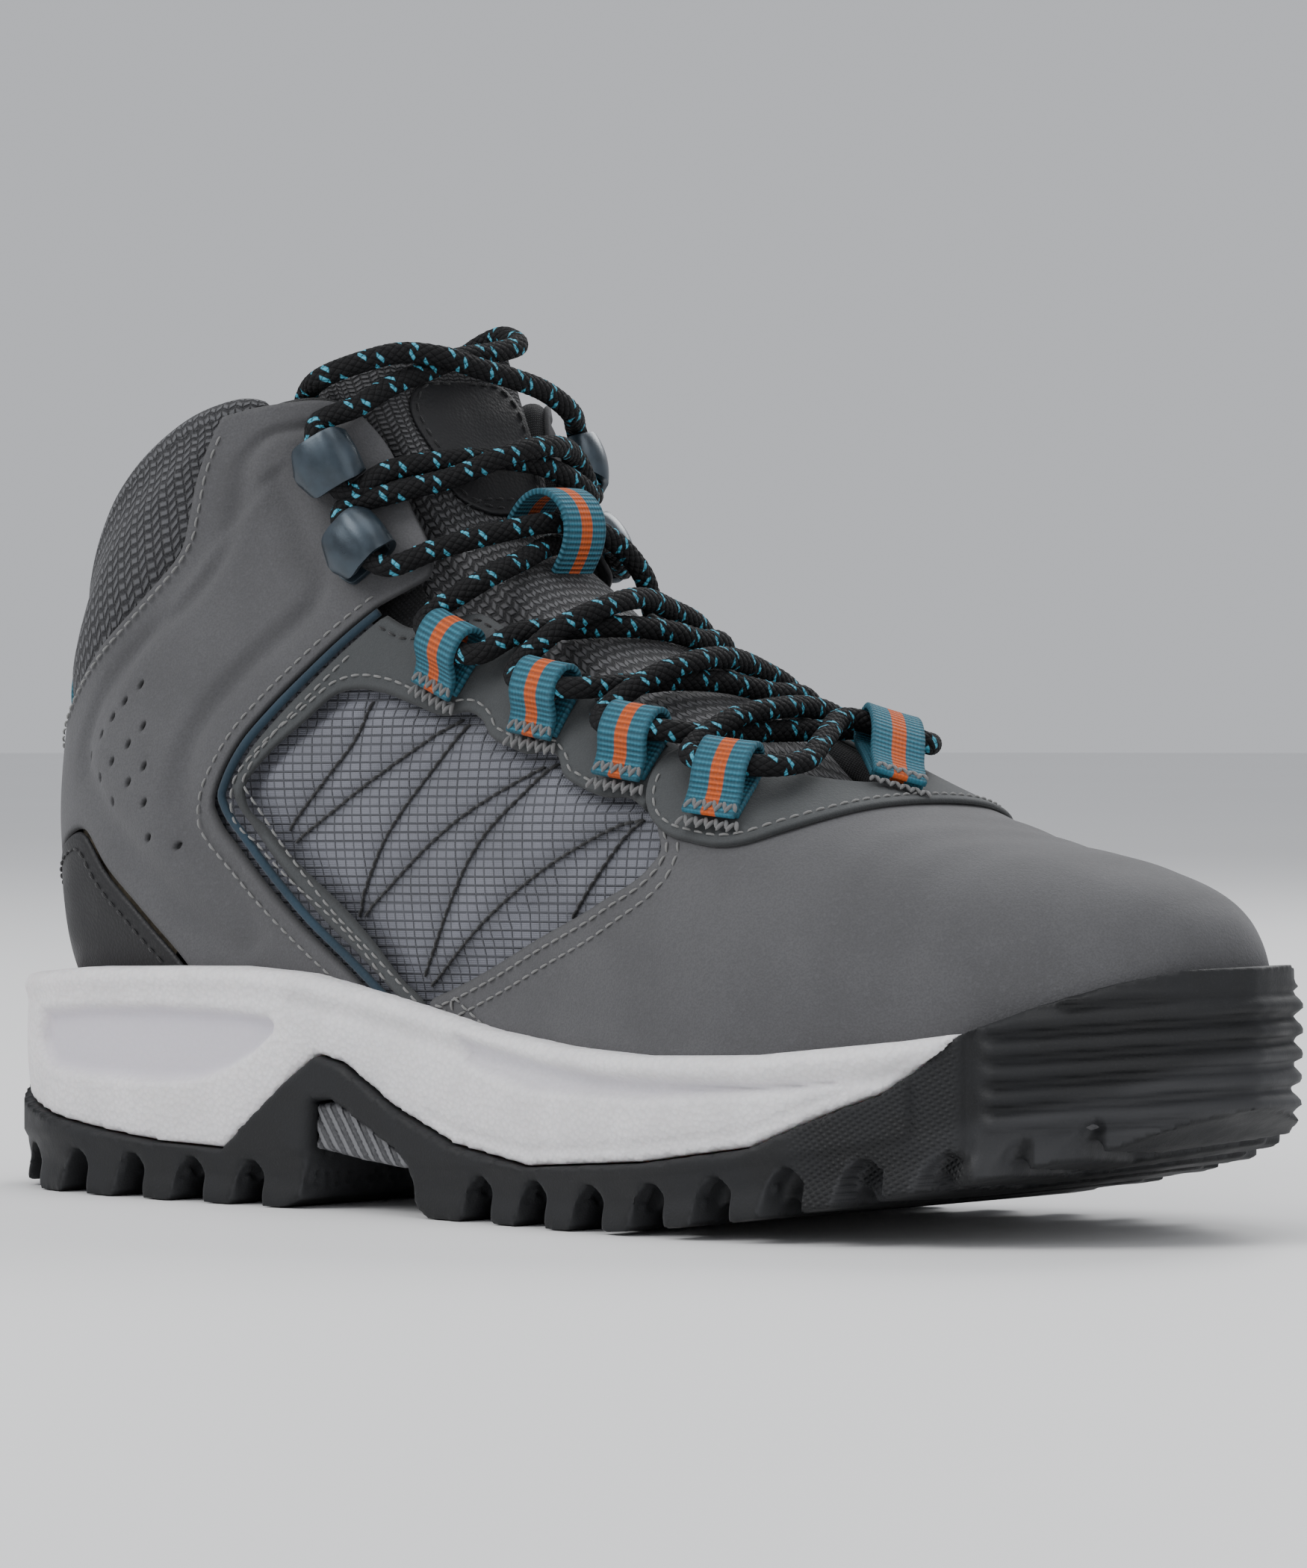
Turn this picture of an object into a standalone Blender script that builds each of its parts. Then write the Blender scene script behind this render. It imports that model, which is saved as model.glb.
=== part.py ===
"""Mid-height hiking boot for the right foot, built piece by piece around one loft of its last.

The loft is worked in millimetres, x from the heel to the toe, y towards the medial side and
z up from the ground. A place on it is (u, v): v runs from the toe tip (0) to the collar (1)
and u runs round a section, 0 at its top, -1 down the lateral side and +1 down the medial side
to the sole or the back of the heel. Objects are made in metres, about the middle of the sole.
"""

import math

import bmesh
import bpy
import numpy as np
from mathutils import Matrix, Vector
from mathutils.geometry import delaunay_2d_cdt

MM = 0.001

# Driving dimensions, in millimetres
SOLE_LENGTH = 305.0
ORIGIN = (152.5, -2.28, 0.0)
GAP = 0.3
PANEL = 1.2  # thickness of a leather or mesh panel
LAYER_STEP = 2.1  # from one layer's outer face to the next one's
OVERLAY_HEIGHT = 1.5  # outer face of the raised overlay at the front of the throat
STIFFENER_DEPTH = 3.7  # outer face of counter, toe puff and lasting board
STIFFENER = 0.7
LINING_DEPTH = 6.0
LINING_THICKNESS = 1.1
PADDING_THICKNESS = 4.6
COLLAR_LINING_DEPTH = STIFFENER_DEPTH + PADDING_THICKNESS + 0.9
TONGUE_DEPTH = 8.1
TONGUE_SUNK = 4.2  # how far below the loft its middle lies under the laces
TONGUE_CROWN = 1.0  # and above them
TONGUE_THICKNESS = 5.0
FOOTBED_DEPTH = 8.1
FOOTBED_THICKNESS = 3.4
DEEP_REACH = 0.06  # how far apart the inner layers feel the loft's slope, in u
CUP_CLEARANCE = 1.0  # between the upper and the cup in the midsole
PATCH_THICKNESS = 0.7
LACE_TUCK = 7.8  # room that the tongue leaves for the lace behind the collar
PIPING_DIAMETER = 1.8
PIPING_GAP = 0.5
LACE_DIAMETER = 4.4
WEBBING_WIDTH = 11.0
WEBBING_THICKNESS = 1.3
LOOP_LIFT = 0.6  # a lace loop's foot above the panel that it is sewn to
FOLD_RADIUS = LACE_DIAMETER / 2 + WEBBING_THICKNESS + 0.7  # outer radius of a lace loop's fold
HOOK_WIDTH = 10.2
HOOK_THICKNESS = 1.5
HOOK_RADIUS = LACE_DIAMETER / 2 + 1.1  # inner radius of the bend that holds the lace
HOOK_CENTRE = 4.5  # height of the bend's middle above the foot
HOOK_FOOT = 1.3  # thickness of the foot
HOOK_LIFT = 0.4
LUG_DEPTH = 4.5
FOOTBED_HINGE = (272.0, 0.0, 31.0)
TONGUE_HINGE = (214.0, 0.0, 76.0)

# Sections of the last: v, top x, top z, bottom x, bottom z, half width, centre y,
# shape (0 foot, 1 shaft), backward bow, skew (how far the medial side runs ahead)
SECTIONS = np.array([
    (0.00, 300, 44, 300, 34, 0, 3, 0, 0, 0),
    (0.03, 298, 57, 298, 24, 14, 3, 0, 0, 0),
    (0.07, 291, 65, 291, 20, 26, 2.5, 0, 0, 0),
    (0.13, 274, 71, 274, 20, 38, 2, 0, 0, 0),
    (0.21, 249, 76, 248, 20, 47, 0, 0, 0, 0),
    (0.30, 222, 85, 221, 20, 50, -2, 0, 0, 0),
    (0.39, 197, 97, 190, 20, 46, -3.5, 0, 0, 0),
    (0.48, 173, 110, 152, 21, 40.5, -4, 0.1, 0, 0.02),
    (0.57, 151, 123, 105, 23, 36.5, -3, 0.3, 0, 0.05),
    (0.66, 133, 135, 58, 24, 35.5, -1.5, 0.55, 0, 0.08),
    (0.74, 121, 145.5, 20, 33, 36, -0.5, 0.8, 1, 0.10),
    (0.82, 114.5, 154, 9, 62, 36.5, 0, 1, 3, 0.10),
    (0.90, 110, 162, 16, 93, 38, 0, 1, 5, 0.10),
    (1.00, 106, 170, 21, 124, 39, 0, 1, 7, 0.10),
    (1.10, 101, 182, 20, 136, 39, 0, 1, 7, 0.10),
])
MEDIAL_BULGE = 4.5  # how much further out the shaft stands on its medial side
MEDIAL_LEAD = 3.0  # how much further forward it stands there
# Half of a section from its top to its bottom: how far down, and how wide
FOOT_PROFILE = [(0, 0), (0.035, 0.45), (0.17, 0.80), (0.42, 0.965), (0.72, 1.0), (0.95, 0.93), (1, 0)]
SHAFT_PROFILE = [(0, 0), (0.02, 0.42), (0.10, 0.78), (0.33, 1.0), (0.64, 0.97), (0.89, 0.62), (1, 0)]

# Where panels end, as (|u|, v) on one side of the boot
COLLAR_TOP = [(0.28, 0.930), (0.322, 0.945), (0.368, 0.957), (0.42, 0.968), (0.46, 0.974), (0.51, 0.980),
              (0.60, 0.976), (0.68, 0.966), (0.76, 0.955), (0.88, 0.948), (1.0, 0.946)]
COLLAR_LINE = [(0.461, 0.974), (0.490, 0.942), (0.508, 0.918), (0.523, 0.890), (0.540, 0.868),
               (0.594, 0.864), (0.66, 0.868), (0.76, 0.872), (0.88, 0.878), (1.0, 0.882)]
QUARTER_TOP = [(0.461, 0.974), (0.42, 0.968), (0.368, 0.957), (0.322, 0.945), (0.286, 0.929), (0.253, 0.896),
               (0.232, 0.858), (0.222, 0.822), (0.225, 0.776), (0.232, 0.734), (0.240, 0.706),
               (0.255, 0.681),
               (0.281, 0.669), (0.320, 0.674), (0.361, 0.684)]
PIPING_LINE = [(0.361, 0.684), (0.400, 0.691), (0.457, 0.700), (0.504, 0.707), (0.544, 0.711),
               (0.574, 0.709),
               (0.592, 0.705), (0.604, 0.694), (0.616, 0.675), (0.642, 0.638), (0.679, 0.599),
               (0.717, 0.563),
               (0.76, 0.530), (0.82, 0.495), (0.90, 0.465)]
HEEL_LINE = [(0.90, 0.595), (0.84, 0.625), (0.78, 0.652), (0.746, 0.673), (0.721, 0.700), (0.708, 0.728),
             (0.711, 0.753), (0.733, 0.787), (0.79, 0.805), (0.88, 0.812), (1.0, 0.815)]
WINDOW_EDGE = [(0.712, 0.527), (0.703, 0.536), (0.66, 0.567), (0.634, 0.592), (0.61, 0.627), (0.590, 0.662),
               (0.580, 0.684), (0.568, 0.691), (0.545, 0.689), (0.494, 0.677), (0.455, 0.667),
               (0.441, 0.656),
               (0.428, 0.636), (0.420, 0.606), (0.411, 0.577), (0.392, 0.562), (0.391, 0.550),
               (0.402, 0.538),
               (0.400, 0.520), (0.393, 0.503), (0.373, 0.490), (0.375, 0.481), (0.391, 0.473),
               (0.394, 0.455),
               (0.387, 0.433), (0.367, 0.412), (0.372, 0.398)]
VAMP_EDGE = [(0.372, 0.388), (0.393, 0.383), (0.417, 0.376), (0.445, 0.381), (0.526, 0.415), (0.611, 0.466),
             (0.692, 0.510), (0.712, 0.521), (0.76, 0.490), (0.82, 0.462), (0.90, 0.437)]
THROAT_EDGE = [(0.222, 0.390), (0.235, 0.42), (0.238, 0.45), (0.243, 0.52), (0.257, 0.566), (0.259, 0.590),
               (0.268, 0.608), (0.300, 0.620), (0.335, 0.634), (0.350, 0.645), (0.361, 0.672)]
THROAT_FRONT = [(0.222, 0.384), (0.21, 0.374), (0.172, 0.351), (0.12, 0.320), (0.07, 0.306), (0.0, 0.301)]
TAB_FRONT = [(0.222, 0.394), (0.245, 0.402), (0.297, 0.406), (0.341, 0.402), (0.363, 0.397), (0.381, 0.388),
             (0.390, 0.373), (0.382, 0.350), (0.368, 0.329), (0.342, 0.312), (0.287, 0.295), (0.226, 0.283),
             (0.157, 0.275), (0.08, 0.271), (0.0, 0.270)]
SIDE_MESH = [(0.285, 0.402), (0.285, 0.50), (0.30, 0.585), (0.345, 0.615), (0.375, 0.66), (0.40, 0.72),
             (0.50, 0.765), (0.62, 0.77), (0.70, 0.74), (0.725, 0.68), (0.735, 0.60), (0.76, 0.53),
             (0.755, 0.465),
             (0.68, 0.475), (0.60, 0.435), (0.50, 0.375), (0.42, 0.345), (0.33, 0.37)]
LINING_THROAT = [(0.30, 0.928), (0.275, 0.88), (0.265, 0.80), (0.275, 0.72), (0.315, 0.66), (0.33, 0.61),
                 (0.30, 0.56), (0.285, 0.48), (0.28, 0.42), (0.235, 0.375), (0.15, 0.338), (0.0, 0.325)]
TONGUE_TOP = [(0.0, 1.020), (0.10, 1.024), (0.20, 1.032), (0.27, 1.032), (0.33, 1.010), (0.362, 0.975),
              (0.37, 0.955)]
TONGUE_SIDE = [(0.37, 0.955), (0.345, 0.88), (0.335, 0.78), (0.345, 0.68), (0.35, 0.60), (0.335, 0.50),
               (0.31, 0.42), (0.24, 0.36), (0.12, 0.325), (0.0, 0.315)]

# Fittings: (|u|, v) of the foot and of the fold of each webbing loop
LATERAL_LOOPS = [((0.388, 0.592), (0.325, 0.595)), ((0.364, 0.503), (0.290, 0.507)),
                 ((0.346, 0.425), (0.266, 0.428)), ((0.328, 0.342), (0.240, 0.351))]
MEDIAL_LOOPS = [((0.405, 0.587), (0.340, 0.590)), ((0.393, 0.507), (0.320, 0.510)),
                ((0.370, 0.428), (0.290, 0.429)), ((-0.020, 0.293), (0.085, 0.345))]
HOOK_PLACES = [(0.318, 0.727), (0.320, 0.840)]
TONGUE_LOOP_PLACE = (0.010, 0.655)

# Plan of the sole: x, lateral y, medial y
SOLE_PLAN = np.array([
    (0, 0, 0), (3, -14, 14), (10, -25, 24), (25, -35, 34), (50, -40.5, 39), (80, -42, 37), (120, -44, 34),
    (160, -50, 38), (195, -56, 46), (222, -57.5, 51.5), (250, -53, 52.5), (272, -42.5, 46), (290, -27, 34),
    (300, -13, 22), (305, 3, 5),
])
# Side view of the sole, as (x, z): where rubber meets midsole, the midsole's top, the ground side
RUBBER_LINE = [(-3, 25), (10, 19), (28, 15.4), (46, 13.3), (62, 11.8), (81, 11.1), (90, 18), (100, 26),
               (107.5, 31), (115, 29.4), (130, 21.3), (148, 14.9), (170, 11.7), (203, 14.1), (230, 18),
               (246, 24.7), (257, 29), (264.5, 34.8), (270, 40.3)]
MIDSOLE_TOP = [(270, 40.3), (260, 38.8), (246, 37.2), (230, 35.4), (203, 34.4), (182, 35.3), (159, 37.7),
               (139, 41.3), (121, 44.3), (104, 47), (84, 47.9), (62, 47.3), (39, 46.5), (21, 45), (-3, 43)]
TOE_WRAP_TOP = [(270, 40.3), (282.5, 45.9), (292, 49.7), (300, 52.1), (308, 52.5)]
GROUND_LINE = [(308, 27), (292, 18.5), (275, 13), (250, 7.5), (225, 3.5), (205, 1.2), (190, 0), (140, 0),
               (136, 3), (134, 11.6), (112, 22.3), (106, 21.5), (105, 9), (103, 2), (98, 0), (22, 0),
               (10, 1), (4, 3.5), (0, 8), (-3, 16)]
SHANK_SIDE = [(106.6, 12), (106.6, 21.1), (112, 21.8), (133.3, 11.3), (132, 9.2), (120, 10.2)]

# The lace's route, from inside the collar's medial side to inside its lateral side. A stop is (u, v) and a
# height above the loft, or a fitting that the lace goes straight through, towards the toe or the collar.
LACE_ROUTE = [
    (0.40, 0.88, -24.0), (0.345, 0.99, -23.5), (0.285, 1.068, -16.0), (0.235, 1.074, -5.0),
    (0.18, 1.036, 1.6),
    (0.10, 1.016, 2.2), (0.0, 1.000, 2.2), (-0.09, 0.972, 2.2), (-0.19, 0.936, 2.6), (-0.265, 0.906, 3.4),
    ("hook_lateral_upper", "toe"),
    (-0.27, 0.791, 3.8), (-0.16, 0.781, 2.7), (-0.04, 0.770, 2.5), (0.10, 0.762, 2.7), (0.24, 0.757, 3.8),
    ("hook_medial_lower", "toe"),
    (0.24, 0.682, 2.6), (0.12, 0.661, -0.6), (0.0, 0.650, -1.2), (-0.11, 0.634, -0.8), (-0.24, 0.622, 2.8),
    ("lace_loop_lateral_1", "toe"),
    (-0.265, 0.559, 3.3), (-0.17, 0.547, -0.8), (-0.06, 0.533, -1.2), (0.08, 0.527, -1.2),
    (0.17, 0.530, -0.4),
    (0.240, 0.536, 2.9),
    ("lace_loop_medial_2", "toe"),
    (0.265, 0.478, 3.9), (0.17, 0.474, 1.8), (0.03, 0.465, 2.9), (-0.10, 0.458, 3.3), (-0.20, 0.458, 3.4),
    ("lace_loop_lateral_3", "toe"),
    (-0.225, 0.394, 4.3), (-0.14, 0.393, 0.2), (-0.04, 0.389, -0.9), (0.06, 0.382, 0.4), (0.135, 0.371, 3.8),
    (0.180, 0.347, 6.2),
    ("lace_loop_medial_4", "collar"),
    (-0.06, 0.342, 5.2), (-0.16, 0.322, 5.4),
    ("lace_loop_lateral_4", "collar"),
    (-0.16, 0.388, 4.4), (-0.04, 0.392, 3.7), (0.08, 0.397, 3.0), (0.17, 0.398, 2.2), (0.235, 0.398, 4.0),
    ("lace_loop_medial_3", "collar"),
    (0.245, 0.457, 3.2), (0.15, 0.454, -0.8), (0.02, 0.456, -1.2), (-0.10, 0.464, -1.1), (-0.18, 0.469, 0.4),
    (-0.235, 0.474, 2.9),
    ("lace_loop_lateral_2", "collar"),
    (-0.22, 0.538, 3.5), (-0.10, 0.538, 3.3), (0.02, 0.547, 2.7), (0.13, 0.555, 0.9), (0.245, 0.559, 3.0),
    ("lace_loop_medial_1", "collar"),
    (0.24, 0.636, 3.4), (0.12, 0.651, 3.4), (0.0, 0.656, 3.5), (-0.13, 0.662, 2.2), (-0.25, 0.677, 2.8),
    ("hook_lateral_lower", "collar"),
    (-0.25, 0.757, 3.6), (-0.14, 0.746, 2.9), (-0.03, 0.750, 6.4), (0.08, 0.772, 7.2), (0.22, 0.803, 4.6),
    ("hook_medial_upper", "collar"),
    (0.26, 0.897, 4.8), (0.17, 0.915, 5.2), (0.08, 0.929, 5.8), (0.0, 0.950, 6.5), (-0.08, 0.980, 6.8),
    (-0.15, 1.003, 4.4), (-0.23, 0.997, 2.6), (-0.30, 0.987, -0.5), (-0.345, 0.975, -7.5),
    (-0.375, 0.943, -11.0),
    (-0.405, 0.910, -14.0),
]

COLOURS = {  # base colour, roughness, metallic
    "nubuck": ((0.115, 0.115, 0.122), 0.85, 0),
    "eyestay": ((0.072, 0.082, 0.087), 0.8, 0),
    "mesh": ((0.13, 0.135, 0.155), 0.9, 0),
    "collar": ((0.085, 0.087, 0.095), 0.95, 0),
    "black_overlay": ((0.024, 0.024, 0.026), 0.7, 0),
    "lining": ((0.03, 0.03, 0.032), 0.95, 0),
    "foam": ((0.25, 0.25, 0.24), 1.0, 0),
    "board": ((0.42, 0.36, 0.27), 0.9, 0),
    "rubber": ((0.018, 0.019, 0.021), 0.75, 0),
    "midsole": ((0.68, 0.65, 0.66), 0.8, 0),
    "shank": ((0.10, 0.10, 0.11), 0.6, 0),
    "webbing": ((0.045, 0.21, 0.29), 0.85, 0),
    "piping": ((0.02, 0.07, 0.10), 0.8, 0),
    "lace": ((0.012, 0.012, 0.012), 0.9, 0),
    "hook": ((0.045, 0.07, 0.09), 0.35, 0.8),
    "aglet": ((0.02, 0.02, 0.02), 0.3, 0),
}


# ---------------------------------------------------------------- loft of the last

def hermite(keys, values, at):
    """A smooth curve through the values, read at each of the given places."""
    keys = np.asarray(keys, float)
    values = np.asarray(values, float)
    at = np.atleast_1d(np.asarray(at, float))
    widths = np.diff(keys)
    slopes = np.diff(values, axis=0) / widths[:, None]
    tangents = np.empty_like(values)
    weights = (widths[:-1] + widths[1:])[:, None]
    tangents[1:-1] = (slopes[:-1] * widths[1:, None] + slopes[1:] * widths[:-1, None]) / weights
    tangents[0], tangents[-1] = slopes[0], slopes[-1]
    i = np.clip(np.searchsorted(keys, at, side="right") - 1, 0, len(keys) - 2)
    t = ((at - keys[i]) / widths[i])[:, None]
    width = widths[i][:, None]
    return ((2 * t**3 - 3 * t**2 + 1) * values[i] + (t**3 - 2 * t**2 + t) * width * tangents[i]
            + (3 * t**2 - 2 * t**3) * values[i + 1] + (t**3 - t**2) * width * tangents[i + 1])


def half_profile(profile, a):
    """(how far down, how wide) at a = |u|. Mirroring the profile past both ends closes it smoothly."""
    points = np.array(profile, float)
    flip = np.array([1, -1])
    keys = np.linspace(0, 1, len(points))
    step = keys[1]
    keys = np.concatenate([[-2 * step, -step], keys, [1 + step, 1 + 2 * step]])
    points = np.concatenate([points[2:0:-1] * flip, points, points[-2:-4:-1] * flip])
    return hermite(keys, points, a)


def surface(u, v):
    """Points of the last's loft. u wraps round at the sole and the back of the heel."""
    u, v = np.broadcast_arrays(np.asarray(u, float), np.asarray(v, float))
    shape = u.shape
    u = (u.ravel() + 1) % 2 - 1
    row = hermite(SECTIONS[:, 0], SECTIONS[:, 1:], v.ravel())
    top, bottom = row[:, 0:2], row[:, 2:4]
    width, centre, form, bow, skew = row[:, 4], row[:, 5], row[:, 6:7], row[:, 7], row[:, 8]
    profile = half_profile(FOOT_PROFILE, abs(u)) * (1 - form) + half_profile(SHAFT_PROFILE, abs(u)) * form
    down, wide = profile[:, 0], np.sign(u) * profile[:, 1]
    medial = np.maximum(wide, 0) * form[:, 0]
    run = bottom - top
    side = run[:, ::-1] * [1, -1] / np.linalg.norm(run, axis=1)[:, None]
    flat = top + run * down[:, None] + side * (bow * 4 * down * (1 - down))[:, None]
    x = flat[:, 0] + skew * wide * width + MEDIAL_LEAD * medial
    y = centre + wide * width + MEDIAL_BULGE * medial
    return np.stack([x, y, flat[:, 1]], axis=1).reshape(shape + (3,))


def tangents(u, v, reach=0.002):
    """Unit directions at (u, v): round the section, towards the collar, and straight out.

    A longer reach round the section turns them more slowly at the edge of the sole.
    """
    e = 0.002
    u, v = np.asarray(u, float), np.asarray(v, float)
    around = surface(u + reach, np.maximum(v, e)) - surface(u - reach, np.maximum(v, e))
    along = surface(u, v + e) - surface(u, np.maximum(v - e, 0))
    out = np.cross(around, along)
    return [d / np.linalg.norm(d, axis=-1, keepdims=True) for d in (around, along, out)]


def lifted(u, v, height, reach=0.002):
    """Points at a height above the loft, or below it when the height is negative."""
    return surface(u, v) + tangents(u, v, reach)[2] * np.asarray(height, float)[..., None]


def smooth_step(low, high, x):
    t = np.clip((np.asarray(x, float) - low) / (high - low), 0, 1)
    return t * t * (3 - 2 * t)


# ---------------------------------------------------------------- outlines on the loft

FLAT = np.array([130.0, 280.0])  # millimetres on the loft for one unit of u and of v, roughly


def smooth_run(points, step=10.0):
    """The curve through the points, with a new point about every step millimetres."""
    points = np.array(points, float)
    lengths = np.linalg.norm(np.diff(points * FLAT, axis=0), axis=1)
    keys = np.concatenate([[0], np.cumsum(lengths)])
    count = max(2, int(round(keys[-1] / step)) + 1)
    return hermite(keys, points, np.linspace(0, keys[-1], count))


def shifted(points, distance):
    """A run moved sideways, to its left as it goes, by a distance in millimetres."""
    points = np.array(points, float) * FLAT
    direction = np.gradient(points, axis=0)
    left = np.stack([-direction[:, 1], direction[:, 0]], axis=1)
    return (points + left / np.linalg.norm(left, axis=1)[:, None] * distance) / FLAT


def joined(*runs):
    """One closed outline from runs that follow each other, without the points that they share."""
    points = np.concatenate(runs)
    keep = [i for i in range(len(points)) if np.linalg.norm((points[i] - points[i - 1]) * FLAT) > 0.6]
    return points[keep]


def mirrored(points):
    """The same run on the other side, going the other way."""
    return (np.array(points, float) * [-1, 1])[::-1]


def both_sides(run):
    """A run that ends on the centre line, carried on down the other side."""
    return np.concatenate([run, mirrored(run)])


def round_the_heel(run):
    """A run that ends at the back of the heel, carried on round it."""
    run = np.array(run, float)
    return np.concatenate([run, (run * [-1, 1] + [2, 0])[::-1]])


def on_side(outline, side):
    return np.array(outline, float) * [side, 1]


def inside(points, outline):
    """Which of the points lie inside the outline."""
    x, y = points[:, 0:1], points[:, 1:2]
    a, b = outline, np.roll(outline, -1, axis=0)
    crosses = (a[:, 1] > y) != (b[:, 1] > y)
    with np.errstate(divide="ignore", invalid="ignore"):
        at = a[:, 0] + (y - a[:, 1]) * (b[:, 0] - a[:, 0]) / (b[:, 1] - a[:, 1])
    return (crosses & (x < at)).sum(axis=1) % 2 == 1


def clearance(points, outline):
    """Each point's distance from the outline."""
    a, b = outline, np.roll(outline, -1, axis=0)
    run = b - a
    t = ((points[:, None] - a) * run).sum(-1) / (run**2).sum(-1)
    nearest = a + np.clip(t, 0, 1)[..., None] * run
    return np.linalg.norm(points[:, None] - nearest, axis=-1).min(axis=1)


HALF_ROUND = [0, 0.08, 0.165, 0.25, 0.335, 0.42, 0.50, 0.585, 0.667, 0.735, 0.795, 0.845, 0.89, 0.94, 1.0]
TOE_ROWS = [0, 0.025, 0.055, 0.09, 0.13, 0.17]


def lattice():
    """The places that every panel shares, so that layers follow each other: denser at the toe."""
    around = [2 - a for a in HALF_ROUND[-2::-1]]
    around = [-a for a in HALF_ROUND[:0:-1]] + HALF_ROUND + around
    along = TOE_ROWS + list(np.arange(0.21, 1.1, 0.045))
    return np.array([(u, v) for u in around for v in along])


# ---------------------------------------------------------------- objects

def clear_scene():
    for obj in list(bpy.data.objects):
        bpy.data.objects.remove(obj, do_unlink=True)


def new_collection(name):
    collection = bpy.data.collections.new(name)
    bpy.context.scene.collection.children.link(collection)
    return collection


def material(name):
    found = bpy.data.materials.get(name)
    if found:
        return found
    colour, roughness, metallic = COLOURS[name]
    made = bpy.data.materials.new(name)
    made.use_nodes = True
    made.diffuse_color = (*colour, 1)
    shader = made.node_tree.nodes["Principled BSDF"]
    shader.inputs["Base Color"].default_value = (*colour, 1)
    shader.inputs["Roughness"].default_value = roughness
    shader.inputs["Metallic"].default_value = metallic
    return made


def place(points):
    """Loft millimetres to the object's own metres."""
    return (np.asarray(points, float) - ORIGIN) * MM


def add_object(name, data, look, collection, pivot=None):
    """Adds an object. With a pivot, its origin goes there and its mesh stays where it is."""
    obj = bpy.data.objects.new(name, data)
    collection.objects.link(obj)
    if look:
        data.materials.append(material(look))
    if pivot is not None:
        origin = Vector(place(pivot))
        data.transform(Matrix.Translation(-origin))
        obj.location = origin
    return obj


def add_cutter(name, data):
    obj = add_object(name, data, None, bpy.data.collections["cutters"])
    obj.hide_render = True
    obj.display_type = "WIRE"
    return obj


def mesh_from(name, points, faces, merge=None):
    mesh = bpy.data.meshes.new(name)
    mesh.from_pydata([tuple(p) for p in points], [], faces)
    if merge:
        shape = bmesh.new()
        shape.from_mesh(mesh)
        bmesh.ops.remove_doubles(shape, verts=shape.verts, dist=merge)
        shape.to_mesh(mesh)
        shape.free()
    return mesh


def smooth_shaded(mesh, angle=35):
    mesh.shade_smooth()
    mesh.set_sharp_from_angle(angle=math.radians(angle))


def solidify(obj, thickness):
    modifier = obj.modifiers.new("thickness", "SOLIDIFY")
    modifier.thickness = thickness * MM
    modifier.offset = -1


def boolean(obj, operation, other=None, collection=None):
    modifier = obj.modifiers.new(operation.lower(), "BOOLEAN")
    modifier.operation = operation
    modifier.solver = "EXACT"
    if collection:
        modifier.operand_type = "COLLECTION"
        modifier.collection = collection
    else:
        modifier.object = other


def sheet_faces(outline):
    """Triangles that fill an outline given in (u, v), with the lattice's places inside it."""
    flat = outline * FLAT
    grid = lattice() * FLAT
    grid = grid[inside(grid, flat)]
    grid = grid[clearance(grid, flat) > 4.0]
    points = [Vector(p) for p in np.concatenate([flat, grid])]
    count = len(flat)
    edges = [(i, (i + 1) % count) for i in range(count)]
    found = delaunay_2d_cdt(points, edges, [], 1, 1e-4)
    places = np.array([tuple(p) for p in found[0]]) / FLAT
    faces = [tuple(face) for face in found[2]]
    corner = places[list(faces[0])]
    first, second = corner[1] - corner[0], corner[2] - corner[0]
    if first[0] * second[1] - first[1] * second[0] < 0:
        faces = [face[::-1] for face in faces]
    return places, faces


def panel(name, outline, depth, thickness, look, pivot=None):
    """A shell that follows the loft inside an outline, its outer face at a depth below the loft."""
    places, faces = sheet_faces(outline)
    u, v = places.T
    below = depth(u, v) if callable(depth) else np.full(len(u), float(depth))
    reach = DEEP_REACH if below.mean() > LAYER_STEP + 0.5 else 0.002
    points = place(lifted(u, v, -below, reach))
    mesh = mesh_from(name, points, faces, merge=0.00002)
    smooth_shaded(mesh, 60)
    obj = add_object(name, mesh, look, bpy.data.collections["hiking_boot"], pivot)
    solidify(obj, thickness)
    return obj


def flat_solid(name, outlines, low, high, frame=None):
    """A mesh with the given flat outline, filled from low to high along its third axis, in millimetres."""
    curve = bpy.data.curves.new(name, "CURVE")
    curve.dimensions = "2D"
    curve.fill_mode = "BOTH"
    curve.extrude = (high - low) / 2 * MM
    for outline in outlines:
        spline = curve.splines.new("POLY")
        spline.points.add(len(outline) - 1)
        for point, (x, y) in zip(spline.points, outline):
            point.co = (x * MM, y * MM, 0, 1)
        spline.use_cyclic_u = True
    holder = bpy.data.objects.new(name + "_outline", curve)
    bpy.context.scene.collection.objects.link(holder)
    graph = bpy.context.evaluated_depsgraph_get()
    mesh = bpy.data.meshes.new_from_object(holder.evaluated_get(graph))
    bpy.data.objects.remove(holder, do_unlink=True)
    bpy.data.curves.remove(curve)
    mesh.transform(Matrix.Translation((0, 0, (low + high) / 2 * MM)))
    if frame is not None:
        mesh.transform(frame)
    mesh.name = name
    shape = bmesh.new()
    shape.from_mesh(mesh)
    bmesh.ops.remove_doubles(shape, verts=shape.verts, dist=0.000001)
    bmesh.ops.recalc_face_normals(shape, faces=shape.faces)
    shape.to_mesh(mesh)
    shape.free()
    return mesh


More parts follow.
